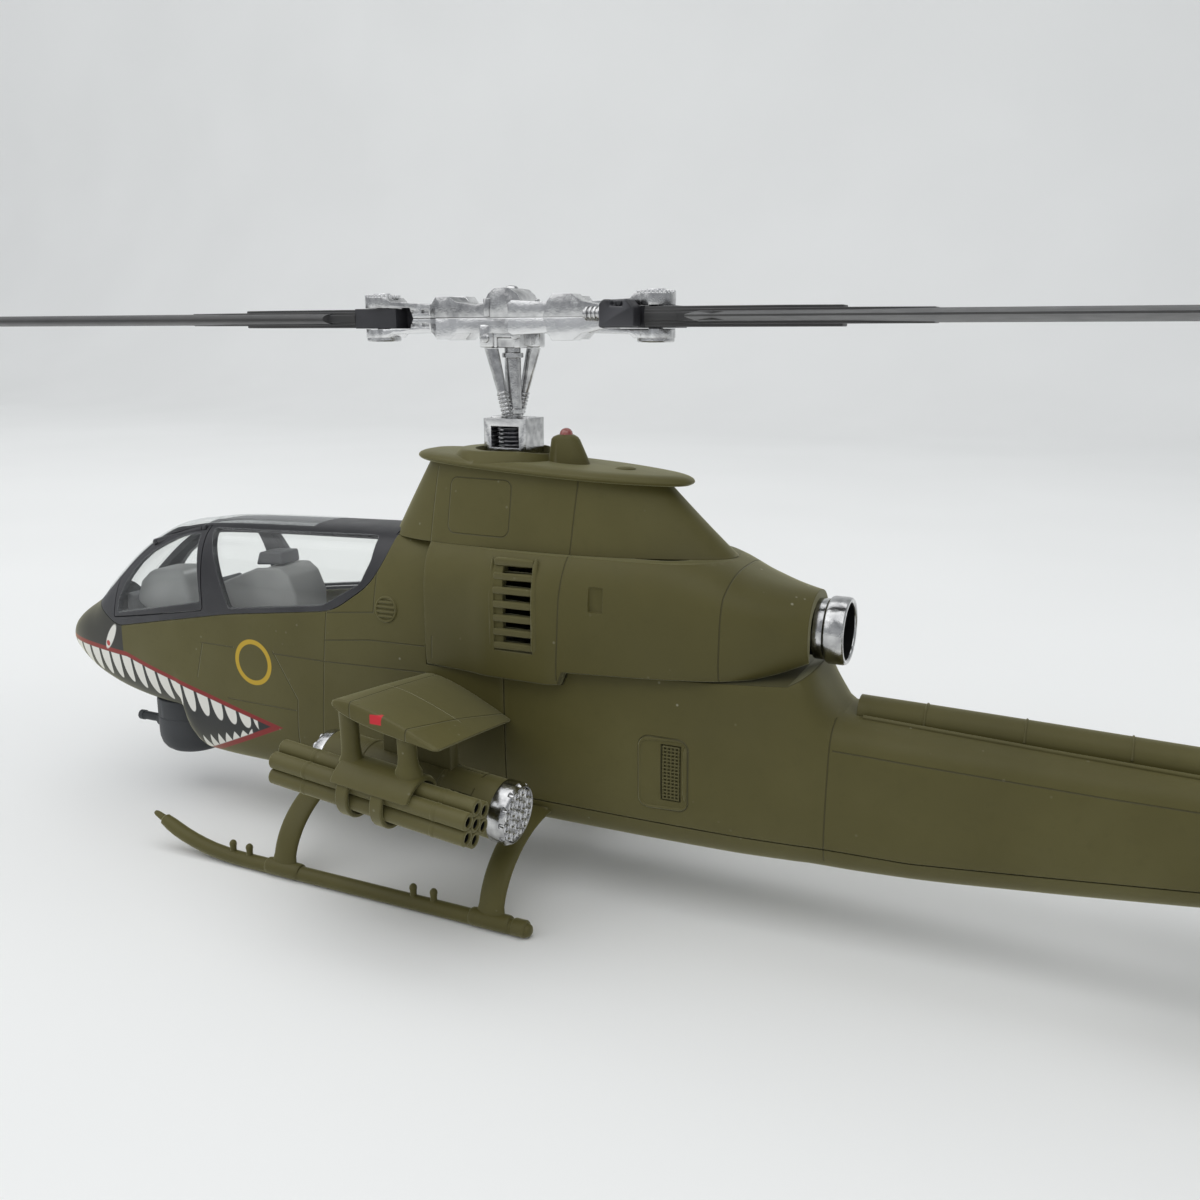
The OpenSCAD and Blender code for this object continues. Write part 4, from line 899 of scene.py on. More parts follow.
REAR_HINGE = (Vector((-51.6, HINGE_Y, 48.65)), Vector((-19.2, HINGE_Y, 49.6)))
HINGE_R = 0.52
LUG = 0.9


def shell():
    """The whole canopy's wall, before it is split into frame, panes and doors."""
    return cut(loft(CANOPY_ROWS), loft(CANOPY_ROWS, CANOPY_T))


def zone():
    """What lies above the canopy's sill."""
    return side([(x, z + 0.15) for x, z in SILL] + [(-17.5, 49.95), (-17.5, 60), (-84.4, 60)], -BOX, BOX)


def strip():
    """The middle strip of windscreen and roof that is clear."""
    return block((-81.2, -STRIP_Y, 20), (STRIP_END, STRIP_Y, 60))


def pane(outline, sign, start):
    """A side view outline taken outwards from start, to one side."""
    low, high = sorted((sign * start, sign * BOX))
    return side(outline, low, high)


def grown(outline, amount):
    """The outline moved inwards (negative) or outwards by amount."""
    area = sum(a[0] * b[1] - b[0] * a[1] for a, b in zip(outline, outline[1:] + outline[:1]))
    turn = 1 if area > 0 else -1
    out = []
    for k, here in enumerate(outline):
        before, after = Vector(outline[k - 1]), Vector(outline[(k + 1) % len(outline)])
        along = (after - before).normalized()
        out.append((here[0] + along.y * amount * turn, here[1] - along.x * amount * turn))
    return out


def flipped(line, sign):
    """A hinge line on the side given by sign."""
    return [Vector((p.x, p.y * sign, p.z)) for p in line]


def hinge_bar(line, sign, start, end, radius):
    a, b = flipped(line, sign)
    d = (b - a).normalized()
    return rod(a + d * start, b - d * end, radius, sides=28, soft=0.05)


def hinge_web(line, sign):
    (a, b), inset = line, LUG + 0.1
    slope = (b.z - a.z) / (b.x - a.x)
    x0, x1 = a.x + inset, b.x - inset
    z0, z1 = a.z + slope * inset, b.z - slope * inset
    low, high = sorted((sign * DOOR_Y, sign * (HINGE_Y + 0.35)))
    return side([(x0, z0 - 1.6), (x1, z1 - 1.6), (x1, z1), (x0, z0)], low, high)


def hinge_lugs(line, sign):
    parts = []
    low, high = sorted((sign * (RAIL_Y - 0.5), sign * HINGE_Y))
    for k, end in enumerate(line):
        x = end.x - k * LUG
        parts.append(soft_block((x, low, end.z - 0.5), (x + LUG, high, end.z + 0.4), 0.1))
    a, b = flipped(line, sign)
    d = (b - a).normalized()
    parts += [rod(a, a + d * LUG, HINGE_R, sides=28), rod(b - d * LUG, b, HINGE_R, sides=28)]
    return parts


def roof_height(x, y):
    """Height of the canopy's outer skin at a point of its plan."""
    rows = np.array(in_between(CANOPY_ROWS, 1.0))
    _, half, _, middle, top, _, n = [np.interp(x, rows[:, 0], rows[:, k]) for k in range(7)]
    return middle + (top - middle) * (1 - min(abs(y) / half, 1) ** n) ** (1 / n)


def roof_rail(sign):
    """A moulded rail along the edge of the clear roof strip."""
    y = STRIP_Y - 0.15
    points = [(x, sign * y, roof_height(x, y)) for x in np.linspace(-79.5, STRIP_END, 60)]
    return tube_along(points, 0.2, 14)


def pane_lip(outline, sign, radius=0.17, sink=0.1):
    """A moulded edge round a pane, following the skin."""
    points = []
    for a, b in zip(outline, outline[1:] + outline[:1]):
        parts = max(1, int((Vector(b) - Vector(a)).length / 0.9))
        for k in range(parts):
            x = a[0] + (b[0] - a[0]) * k / parts
            z = a[1] + (b[1] - a[1]) * k / parts
            points.append((x, sign * (surface_y(BODY, x, z) - sink), z))
    return tube_along(points + [points[0]], radius, 10)


def make_canopy():
    whole = shell()
    black = common(copy(whole), zone())
    cut(black, strip(), pane(FRONT_DOOR, -1, RAIL_Y), pane(REAR_DOOR, 1, RAIL_Y),
        pane(FRONT_PANE, 1, RAIL_Y), pane(REAR_PANE_LEFT, -1, RAIL_Y),
        hinge_bar(FRONT_HINGE, -1, 0, 0, HINGE_R + 0.12), hinge_bar(REAR_HINGE, 1, 0, 0, HINGE_R + 0.12))
    parts = [black] + hinge_lugs(FRONT_HINGE, -1) + hinge_lugs(REAR_HINGE, 1)
    place(merge(*parts), "canopy_framing", "airframe", "black", "black_paint", "canopy_frame")
    clear = common(copy(whole), zone(), strip())
    clear = merge(clear, roof_rail(1), roof_rail(-1))
    place(clear, "windscreen", "airframe", "clear", "clear_plastic", "windshield")
    for name, node, outline, sign in (("window_front_right", "front_window_right", FRONT_PANE, 1),
                                      ("window_rear_left", "rear_window_left", REAR_PANE_LEFT, -1)):
        glass = merge(common(copy(whole), pane(outline, sign, RAIL_Y)), pane_lip(outline, sign))
        place(glass, name, "airframe", "clear", "clear_plastic", node)
    doors = (("gunner_door", FRONT_DOOR, FRONT_PANE, FRONT_HINGE, -1),
             ("pilot_door", REAR_DOOR, REAR_PANE, REAR_HINGE, 1))
    for body, outline, opening, line, sign in doors:
        door = common(copy(whole), pane(grown(outline, -SEAM), sign, DOOR_Y))
        cut(door, hinge_bar(line, sign, -0.2, -0.2, HINGE_R + 0.12))
        fuse(door, hinge_web(line, sign), hinge_bar(line, sign, LUG + 0.1, LUG + 0.1, HINGE_R))
        cut(door, pane(opening, sign, 0))
        place(door, body + "_framing", body, "black", "black_paint", body + "_frame")
        glass = merge(common(copy(whole), pane(opening, sign, DOOR_Y)), pane_lip(opening, sign))
        place(glass, body + "_pane", body, "clear", "clear_plastic", body + "_glass")
    remove(whole)


def belly_line(lift):
    return [(MID_SEAM - 1, 5), (MID_SEAM - 1, 13.8 + lift), (60, 13.8 + lift),
            (TAIL_X - 0.05, 20.6 + lift), (TAIL_X - 0.05, 5)]


BOOM_TOP = [(51.5, 30.6), (75, 29.6), (92, 29.0), (112, 28.4), (140, 27.7)]


def cover_channel():
    """The open trough along the boom's top that the shaft cover fills."""
    return side(BOOM_TOP + [(TAIL_X, 40), (51.5, 40)], -2.7, 2.7)


def grille_panel(sign):
    """The oval intake panel on the boom's root: a raised border and a lattice over a dark bed."""
    def skin_point(x, z, sink=0.0):
        return x, sign * (surface_y(BOOM, x, z) - sink), z

    border = []
    for cx, cz, start in ((29.7, 25.2, 0), (25.4, 24.9, 90), (25.4, 17.6, 180), (29.7, 17.9, 270)):
        for a in spokes(7, 15, start):
            border.append(skin_point(cx + 1.3 * cos(a), cz + 1.3 * sin(a), 0.02))
    parts = [tube_along(border + [border[0]], 0.2, 12)]
    for k in range(5):
        bar = [skin_point(27.6 + 0.55 * k, z) for z in np.linspace(17.9, 25.4, 12)]
        parts.append(tube_along(bar, 0.11, 8))
    for k in range(16):
        bar = [skin_point(x, 17.9 + 0.5 * k) for x in (27.5, 28.7, 29.9)]
        parts.append(tube_along(bar, 0.11, 8))
    ridge = [skin_point(30.7, z) for z in np.linspace(18.0, 25.6, 10)]
    parts.append(tube_along(ridge, [0.12] + [0.32] * 8 + [0.12], 12))
    return parts


def boom_body():
    outline = rounded([(MID_SEAM + SEAM / 2, 5), (MID_SEAM + SEAM / 2, 32.1), (12.4, 32.1), (13.2, 34.0),
                       (43.7, 35.4), (46.0, 36.7), (47.8, 33.8), (49.8, 31.3), (51, 45), (TAIL_X - 0.05, 45),
                       (TAIL_X - 0.05, 5)], 0.05, 2)
    return common(loft(BOOM), side(outline, -BOX, BOX))


def make_boom():
    body = boom_body()
    hollow = common(
        loft([r for r in BOOM if r[0] < 150], WALL, 72),
        side([(MID_SEAM + 2, 5), (MID_SEAM + 2, 30.6), (44, 33), (48, 28.6), (128, 26), (128, 5)], -BOX, BOX))
    bed = [block((27.2, s - 0.75, 17.6), (30.1, s + 0.75, 25.7)) for s in (-9.6, 9.6)]
    cut(body, hollow, side(belly_line(SEAM / 2), -BOX, BOX), cover_channel(), leg_tunnel(REAR_LEG_X), *bed,
        rod((ELEVATOR_X, -9, ELEVATOR_Z), (ELEVATOR_X, 9, ELEVATOR_Z), 0.8))
    parts = [body] + grille_panel(1) + grille_panel(-1)
    for s in (-1, 1):
        edge = ((52.5, 31.0), (75, 30.0), (92, 29.4), (112, 28.8), (139.5, 28.2))
        parts.append(tube_along([(x, s * 3.1, z + 0.05) for x, z in edge], 0.28, 12))
    place(merge(*parts), "boom_casting", "airframe", "boom", "olive_plastic", "aft_fuselage")
    front = MID_SEAM + SEAM / 2
    plate = common(loft(BOOM), side(belly_line(-SEAM / 2), -BOX, BOX),
                   side([(front, 5), (front, 40), (160, 40), (160, 5)], -BOX, BOX))
    inner = common(loft([r for r in BOOM if r[0] < 140], WALL, 72),
                   side([(MID_SEAM + 2, 5), (MID_SEAM + 2, 30), (110, 30), (110, 5)], -BOX, BOX))
    holes = []
    for x in (30, 62):
        low = [r for r in in_between(BOOM, 0.5) if r[0] <= x][-1][2]
        holes += [turned_cylinder(x, 0, low - 1, low + 11, 0.7, 32),
                  turned_cylinder(x, 0, low - 1, low + 0.6, 1.5, 48)]
    cut(plate, inner, leg_tunnel(REAR_LEG_X), *holes)
    place(plate, "belly_casting", "airframe", "boom", "olive_plastic", "belly_plate")
    cover = common(loft(COVER, 0, 48, 2.0), cover_channel())
    clamps = []
    for x in (60, 72, 84, 96, 108, 120, 132):
        ring = [r for r in in_between(COVER, 1.0) if r[0] <= x][-1]
        band = [(x, (ring[1] + 0.05) * cos(a), ring[3] + (ring[4] - ring[3] + 0.05) * sin(a))
                for a in np.linspace(0.15, pi - 0.15, 15)]
        clamps.append(tube_along(band, 0.14, 8))
    place(merge(cover, *clamps), "shaft_cover", "airframe", "olive", "olive_plastic", "drive_shaft_cover")


def louvre_slats(sign):
    """Seven slats over the cowl's opening, with a ridge behind them and a bead in front."""
    def cowl_side(z, y, taper):
        return y - 0.0035 * (z - 40) ** 2 - max(0.0, z - 44.5) * taper

    parts = []
    for k in range(7):
        z = 36.65 + LOUVRE_PITCH * k
        slat = prism([(2.9, 0.15), (8.9, 0.0), (8.9, -1.5), (2.9, -0.9)], z, z + 0.95, 2)
        bevelled(slat, 0.2, 3)
        parts.append(moved(slat, Matrix.Translation((0, cowl_side(z, 11.95, 0.13), 0))))
    for x, y, top, tip, radius, sides in ((9.2, 11.9, 49.6, 0.12, 0.42, 14),
                                          (2.4, 11.85, 49.4, 0.06, 0.2, 10)):
        line = [(x, cowl_side(z, y, 0.15), z) for z in np.linspace(36.2, top, 14)]
        parts.append(tube_along(line, [tip] + [radius] * 12 + [tip], sides))
    return [on_side(part, sign) for part in parts]


def make_cowl():
    front = FRONT_SEAM + SEAM / 2
    outline = [(front, 32.3), (12.7, 32.3), (13.5, 34.3), (43.7, 35.7), (45.4, 36.6), (45.4, 50), (front, 50)]
    body = common(loft(COWL, step=0.8), side(outline, -BOX, BOX))
    rows = [[-8 if r[0] < -9 else r[0], r[1], r[2] - 6, *r[3:]] for r in COWL]
    cut(body, loft(rows, WALL, 72))
    for s in (-1, 1):
        recess = prism([(3.0, 12.6), (3.0, 11.75), (8.9, 10.7), (9.3, 12.6)] if s > 0 else
                       [(3.0, -12.6), (9.3, -12.6), (8.9, -10.7), (3.0, -11.75)], 36.4, 49.4, 2)
        low, high = sorted((s * 15, s * 5))
        slots = [block((4.2, low, 37.6 + LOUVRE_PITCH * k), (8.7, high, 38.5 + LOUVRE_PITCH * k))
                 for k in range(6)]
        low, high = sorted((s * 11.05, s * 14))
        notch = bevelled(block((17.2, low, 43.1), (19.3, high, 46.6)), 0.3, 2)
        cut(body, recess, *slots, notch)
    parts = [body] + louvre_slats(1) + louvre_slats(-1)
    place(merge(*parts), "engine_cowling", "airframe", "cowl", "olive_metal", "engine_cowl")


# ---------------------------------------------------------------- mast fairing
FAIRING_FRONT, FAIRING_BACK, FAIRING_HALF = (-19.4, -13.0), (34.0, 24.0), (8.6, 6.7)
FAIRING_TOP = 60.6
CAP_BACK = 26.2
LAMP_X = 8.4


def plan_ring(front, back, half, low, high, t, sides=112):
    """A ring of the fairing seen from above: rounder than an ellipse and narrower to the back."""
    ring = []
    for a in round_angles(sides, 0.5):
        c, s = cos(a), sin(a)
        u = copysign(abs(c) ** (2 / 2.8), c)
        x = (front + back) / 2 + (back - front) / 2 * u
        y = half * copysign(abs(s) ** (2 / 2.8), s) * (1 - 0.42 * max(u, 0) ** 2)
        ring.append((x, y, low + (high - 0.055 * x - low) * t))
    return ring


def fairing_body(inset, t0, t1):
    """The mast fairing from t0 to t1 of its height, drawn in by inset."""
    rings = []
    for k in range(25):
        t = t0 + (t1 - t0) * k / 24
        size = [a + (z - a) * t for a, z in (FAIRING_FRONT, FAIRING_BACK, FAIRING_HALF)]
        rings.append(plan_ring(size[0] + inset, size[1] - inset, size[2] - inset, 50, FAIRING_TOP, t))
    return skin(rings)


def make_fairing():
    body = cut(fairing_body(0, 0, 1), fairing_body(WALL, -0.1, 0.86), turned_cylinder(0, 0, 50, 70, 2.4),
               block((-30, -12, 40), (-17.0, 12, 51)))
    place(body, "mast_fairing_casting", "airframe", "fairing", "olive_metal", "mast_fairing")
    profile = [(0.35, 0.02), (0.75, 0.1), (1.1, 0.28), (1.28, 0.5), (1.24, 0.75), (1.02, 0.98), (0.6, 1.18),
               (0.0, 1.34), (-0.9, 1.42)]
    front, half = FAIRING_FRONT[1], FAIRING_HALF[1]
    cap = skin([plan_ring(front - grow - 0.6, CAP_BACK + grow, half + grow, 0, FAIRING_TOP + lift, 1)
                for grow, lift in profile])
    collar = lathe([(7.75, 0), (7.6, 0.5), (7.35, 1.0), (7.0, 1.5), (6.75, 1.85), (6.5, 2.03), (6.25, 2.05)],
                   at=(-1.4, 0, 61.15))
    fuse(cap, collar)
    foot = []
    for z, long, wide, x in ((60.7, 3.18, 2.1, 8.86), (61.6, 3.1, 2.05, 8.82), (63.4, 2.55, 1.75, 8.52),
                             (64.7, 2.14, 1.5, 8.3), (65.05, 1.86, 1.36, 8.3), (65.3, 1.35, 1.15, 8.36),
                             (65.4, 1.02, 1.0, LAMP_X)):
        foot.append([(x + long * cos(a), wide * sin(a), z) for a in round_angles(48)])
    fuse(cap, skin(foot))
    cut(cap, turned_cylinder(0, 0, 62, 67, 5.6), turned_cylinder(0, 0, 50, 70, 2.4))
    bump = lathe([(1.5, 0), (1.45, 0.25), (1.15, 0.42), (0.6, 0.5)], at=(17.5, 0, 60.9), sides=40)
    place(merge(cap, bump), "fairing_lid", "airframe", "olive", "olive_metal", "fairing_cap")
    lens = lathe([(0.93, 0), (0.94, 0.1), (0.85, 0.45), (0.6, 0.75), (0.26, 0.92)],
                 at=(LAMP_X, 0, 65.38), sides=40)
    place(lens, "beacon", "airframe", "lamp", "red_lens", "beacon_lens")


# ---------------------------------------------------------------- flying surfaces
FOIL_DEPTH = 1.9


def foil(u):
    """Half thickness of a plain symmetrical section, at u along its chord."""
    return 2.6 * (0.2969 * sqrt(u) - 0.126 * u - 0.3516 * u * u + 0.2843 * u ** 3 - 0.1015 * u ** 4)


def foil_loop(n):
    stations = [(1 - cos(pi * k / n)) / 2 for k in range(n + 1)]
    top = [(u, foil(u) + 0.03 * u) for u in stations]
    return top + [(u, -h) for u, h in reversed(top[1:-1])]


def surface(rows, n=26):
    """A lifting surface through rows of (span, front x, front z, back x, back z, thickness)."""
    rings = []
    for span, x0, z0, x1, z1, thick in rows:
        dx, dz = x1 - x0, z1 - z0
        chord = hypot(dx, dz)
        nx, nz = -dz / chord, dx / chord
        rings.append([(x0 + dx * u + nx * h * thick * FOIL_DEPTH, span,
                       z0 + dz * u + nz * h * thick * FOIL_DEPTH) for u, h in foil_loop(n)])
    return skin(rings)


def make_wings():
    rise = tan(radians(14)) * 6.8
    tip = node_mm("wing_right")[1].y
    rows = [(span, x0, middle + lift * rise, x1, middle - lift * rise, thick)
            for span, x0, x1, middle, lift, thick in (
                (10.05, -10.2, 4.2, 28.0, 1.45, 2.4), (21.0, -9.65, 5.7, 29.75, 1.31, 2.4),
                (tip - 0.5, -9.2, 6.9, 31.3, 1.19, 2.4), (tip - 0.2, -9.05, 6.7, 31.28, 1.165, 2.1),
                (tip, -8.75, 6.25, 31.2, 1.11, 1.45))]
    plane = [(span, x0, ELEVATOR_Z, x1, ELEVATOR_Z, thick) for span, x0, x1, thick in (
        (6.3, 100.4, 112.8, 1.7), (20.9, 101.7, 111.7, 1.35), (21.4, 101.9, 111.5, 1.25),
        (21.8, 102.4, 111.2, 1.0), (22, 103, 110.8, 0.7))]
    for sign, word in SIDES:
        wing = merge(surface(rows), rod((-3, 7, 27.7), (-3, 11, 27.7), 0.7))
        place(on_side(wing, sign), "stub_wing_" + word, "airframe", "wing", "olive_plastic", "wing_" + word)
        pin = rod((ELEVATOR_X, 4.2, ELEVATOR_Z), (ELEVATOR_X, 7.3, ELEVATOR_Z), 0.8)
        tail = merge(surface(plane, 18), pin)
        place(on_side(tail, sign), "tailplane_" + word, "airframe", "olive", "olive_plastic",
              "elevator_" + word)


# [z, front x, back x, thickness]
FIN = [(17.0, 146.0, 156.5, 1.2), (21.0, 141.0, 160.0, 2.4), (27.0, 138.0, 163.5, 2.8),
       (36.0, 146.5, 168.0, 2.6), (50.0, 158.5, 174.5, 2.2), (62.0, 168.5, 179.6, 1.9),
       (66.0, 171.8, 181.0, 1.5), (66.8, 173.5, 180.0, 0.8)]


def make_fin():
    fin = skin([[(x0 + (x1 - x0) * u, h * t * FOIL_DEPTH, z) for u, h in foil_loop(20)]
                for z, x0, x1, t in FIN])
    root = loft([r for r in BOOM if r[0] > 120])
    spine = common(loft([r for r in COVER if r[0] > 80], 0, 48, 2.0), block((130, -4, 25), (156, 4, 35)))
    fuse(fin, root, spine)
    common(fin, block((TAIL_X + 0.05, -10, 0), (200, 10, 80)))
    place(fin, "fin_casting", "airframe", "fin", "olive_plastic", "tail_fin")


# ---------------------------------------------------------------- main rotor
HUB_Z = 81.3
LUG_X = 21.8
BOLT_R = 0.95
MAST_R = 1.15
# [distance from the mast, height]: the upper and lower half's outline, then the plan of an arm
YOKE_UP = [(0, 4.1), (1.3, 3.9), (2.3, 3.2), (3.0, 2.0), (4.2, 1.7), (7.6, 2.2), (8.3, 2.9), (10.4, 2.9),
           (11.6, 1.9), (14, 2.1), (19, 2.4), (19.6, 3.0), (24.4, 3.0), (24.4, 1.5), (15.6, 1.5),
           (15.0, 0.06)]
YOKE_DOWN = [(0, 2.1), (3.0, 2.0), (7.6, 2.1), (8.3, 2.9), (10.4, 2.9), (11.6, 2.0), (19, 2.2), (19.6, 2.7),
             (24.4, 2.7), (24.4, 1.5), (15.6, 1.5), (15.0, 0.06)]
ARM_PLAN = [(0, 2.9), (3.0, 2.5), (7.6, 2.6), (8.4, 3.3), (10.5, 3.3), (12, 2.4), (18.6, 2.2), (21.8, 2.2)]


def both_ends(half):
    return half + [(-x, z) for x, z in reversed(half) if x > 0]


def yoke_half(profile):
    """The upper or lower casting of the rotor's yoke, centred on the hub."""
    plan = [(x, y) for x, y in ARM_PLAN] + [(x, -y) for x, y in reversed(ARM_PLAN)]
    plan += [(-x, -y) for x, y in ARM_PLAN[1:]] + [(-x, y) for x, y in reversed(ARM_PLAN[1:])]
    slab = prism(plan, -6, 6, 2)
    fuse(slab, *[turned_cylinder(x, 0, -6, 6, 2.6, 64) for x in (-LUG_X, LUG_X)])
    half = common(side(both_ends(profile), -5, 5), slab)
    for turn in (1, -1):
        bar = [(1.2, 0.06), (1.2, 1.9), (1.8, 2.3), (7.6, 2.0), (7.6, 0.06)]
        knob = [(6.9, 0.06), (7.5, 2.1), (8.3, 3.05), (11.2, 3.05), (12.6, 2.1), (15.6, 1.5), (15.6, 0.06)]
        for outline, inner, outer in ((bar, 1.2, 3.35), (knob, 1.2, 3.75)):
            low, high = sorted((-turn * outer, -turn * inner))
            fuse(half, side([(turn * x, z) for x, z in outline][::turn], low, high))
    slots = []
    for turn in (1, -1):
        for x in (12.9, 14.7, 16.5, 18.3):
            y = turn * 2.3 - 0.35
            slots.append(block((turn * x - 0.6, y, 0.66), (turn * x + 0.6, y + 0.7, 1.2)))
    cut(half, *[turned_cylinder(x, 0, -6, 6, BOLT_R, 48) for x in (-LUG_X, LUG_X)], *slots)
    return bevelled(half, 0.2, 3, 28)


def nut(x, y, z, radius, height):
    ring = [(x + radius * cos(radians(60 * k)), y + radius * sin(radians(60 * k)))
            for k in range(6)]
    return bevelled(prism(ring, z, z + height, 2), 0.12, 2)


def make_rotor_head():
    upper = [raised(yoke_half(YOKE_UP), HUB_Z)]
    for x, y, r, top in ((0.0, -1.7, 0.95, 3.9), (1.5, -1.3, 0.8, 3.3), (-1.55, -1.2, 0.8, 3.4),
                         (0.0, 1.7, 0.95, 3.9), (1.5, 1.3, 0.8, 3.3), (-1.55, 1.2, 0.8, 3.4),
                         (0, 0, 1.1, 4.3)):
        dome = [(r, 0), (r, top - 0.9), (r * 0.93, top - 0.45), (r * 0.72, top - 0.14), (r * 0.35, top)]
        upper.append(lathe(dome, at=(x, y, HUB_Z + 0.1), sides=32))
    for x, y in ((-2.5, -2.55), (2.5, 2.55)):
        upper.append(rod((x, y, HUB_Z + 0.15), (x, y, HUB_Z + 2.6), 0.55, sides=28))
    for turn in (1, -1):
        plate = [(2.5, 2.9), (2.5, 3.15), (2.35, 3.3), (1.55, 3.3)]
        upper.append(lathe(plate, at=(turn * LUG_X, 0, HUB_Z), sides=64))
        for a in round_angles(28):
            u, v = turn * LUG_X + 2.42 * cos(a), 2.42 * sin(a)
            tooth = (u - 0.14, v - 0.14, HUB_Z + 2.85), (u + 0.14, v + 0.14, HUB_Z + 3.4)
            upper.append(soft_block(*tooth, 0.05, 1))
    place(merge(*upper), "yoke_upper_casting", "main_rotor", "plated", "plated", "yoke_upper")
    lower = [raised(moved(yoke_half(YOKE_DOWN), Matrix.Diagonal((1, 1, -1, 1))), HUB_Z)]
    trunnion = block((-2.4, -2.2, 77.2), (2.4, 2.2, HUB_Z - 1))
    cut(trunnion, block((-1.35, -3, 76), (1.35, -1.75, 78.6)), block((-1.35, 1.75, 76), (1.35, 3, 78.6)))
    lower.append(bevelled(trunnion, 0.22, 3))
    for turn in (1, -1):
        x0, x1 = sorted((turn * -3.9, turn * -1.7))
        y0, y1 = sorted((turn * -2.6, turn * -0.8))
        lower.append(soft_block((x0, y0, 77.25), (x1, y1, 80.4), 0.3))
        for x, y, end, z, r in ((-2.8, -2.5, -2.95, 78.5, 0.6), (1.9, -2.1, -2.75, 79.1, 0.75)):
            lower.append(rod((turn * x, turn * y, z), (turn * x, turn * end, z), r, sides=28))
        plate = [(2.5, -2.6), (2.5, -3.1), (2.35, -3.25), (1.5, -3.25)]
        lower.append(lathe(plate, at=(turn * LUG_X, 0, HUB_Z), sides=64))
    place(merge(*lower), "yoke_lower_casting", "main_rotor", "plated", "plated", "yoke_lower")
    make_links()
    make_mast()


def make_links():
    links = []
    for turn in (1, -1):
        foot = Vector((0.5 * turn, -2.5 * turn, 67.8))
        top = Vector((-3.0 * turn, -1.7 * turn, 79.2))
        d = (top - foot).normalized()
        rings = []
        for k in range(13):
            t = k / 12
            here = foot + (top - foot) * (t * 0.82)
            wide, deep = 0.55 + 0.55 * t, 0.5 + 0.1 * t
            rings.append([(here.x + wide * cos(a), here.y + deep * sin(a), here.z)
                          for a in round_angles(32)])
        links.append(skin(rings))
        for k in range(6):
            a = foot + d * (0.35 + 0.55 * k)
            links.append(rod(a, a + d * 0.34, 0.84, sides=32, soft=0.14))
        links.append(rod(foot - d * 0.02, foot + d * 0.28, 0.7, sides=28))
    place(merge(*links), "control_rods", "main_rotor", "plated", "plated", "control_links")


def make_mast():
    shaft = lathe([(MAST_R, 56), (MAST_R, 57.6), (2.2, 57.6), (2.2, 58.55), (MAST_R, 58.55), (MAST_R, 77.2)])
    collars = [lathe([(1.15, z), (1.5, z + 0.1), (1.5, z + 0.7), (1.15, z + 0.8)]) for z in (68.0, 75.8)]
    place(merge(shaft, *collars), "mast_shaft", "main_rotor", "plated", "plated", "rotor_mast")
    bracket = block((-3.4, -2.7, 62.5), (3.4, 2.7, 67.5))
    cut(bracket, block((-2.25, -4, 63.4), (2.25, 4, 66.4)), turned_cylinder(0, 0, 60, 70, MAST_R, 48),
        block((-2.8, -4, 62), (2.8, 4, 62.9)))
    bevelled(bracket, 0.22, 3)
    caps = [soft_block((s * 2.2 - 0.9, -1.2, 67.3), (s * 2.2 + 0.9, 1.2, 67.7), 0.15) for s in (-1, 1)]
    place(merge(bracket, *caps), "swash_bracket", "main_rotor", "plated", "plated", "mast_bracket")
    profile = [(1.3, 63.42)]
    for k in range(5):
        z = 63.45 + 0.58 * k
        profile += [(1.45, z), (1.95, z + 0.12), (2.15, z + 0.27), (1.95, z + 0.42), (1.45, z + 0.54)]
    profile.append((1.3, 66.38))
    place(lathe(profile), "mast_spring", "main_rotor", "dark_plated", "dark_plated", "mast_bellows")


def root_fitting():
    body = block((18.2, -2.0, -1.4), (25.4, 2.0, 1.4))
    cut(body, turned_cylinder(LUG_X, 0, -6, 6, BOLT_R, 48))
    parts = [bevelled(body, 0.18, 2)]
    brace = side([(15.8, -1.4), (20.8, -1.4), (20.8, 1.2), (19.9, 2.2), (16.4, 2.2), (15.8, 1.6)], -5.3, -2.7)
    cut(brace, block((17.4, -5.6, 1.3), (19.2, -4.2, 2.4)))
    parts.append(bevelled(brace, 0.3, 3))
    parts.append(soft_block((16.4, -3.2, -1.3), (20.2, -1.0, 1.3), 0.2))
    parts.append(rod((18.3, -4.1, 1.3), (18.3, -4.1, 2.0), 0.5))
    return merge(*parts)


def root_spool():
    """The ringed rod that stands inboard of a root fitting."""
    parts = [rod((13.2, -4, 0.4), (16.4, -4, 0.4), 0.7, sides=28)]
    for k in range(4):
        x = 13.55 + 0.62 * k
        parts.append(rod((x, -4, 0.4), (x + 0.36, -4, 0.4), 1.0, sides=32, soft=0.12))
    return merge(*parts)


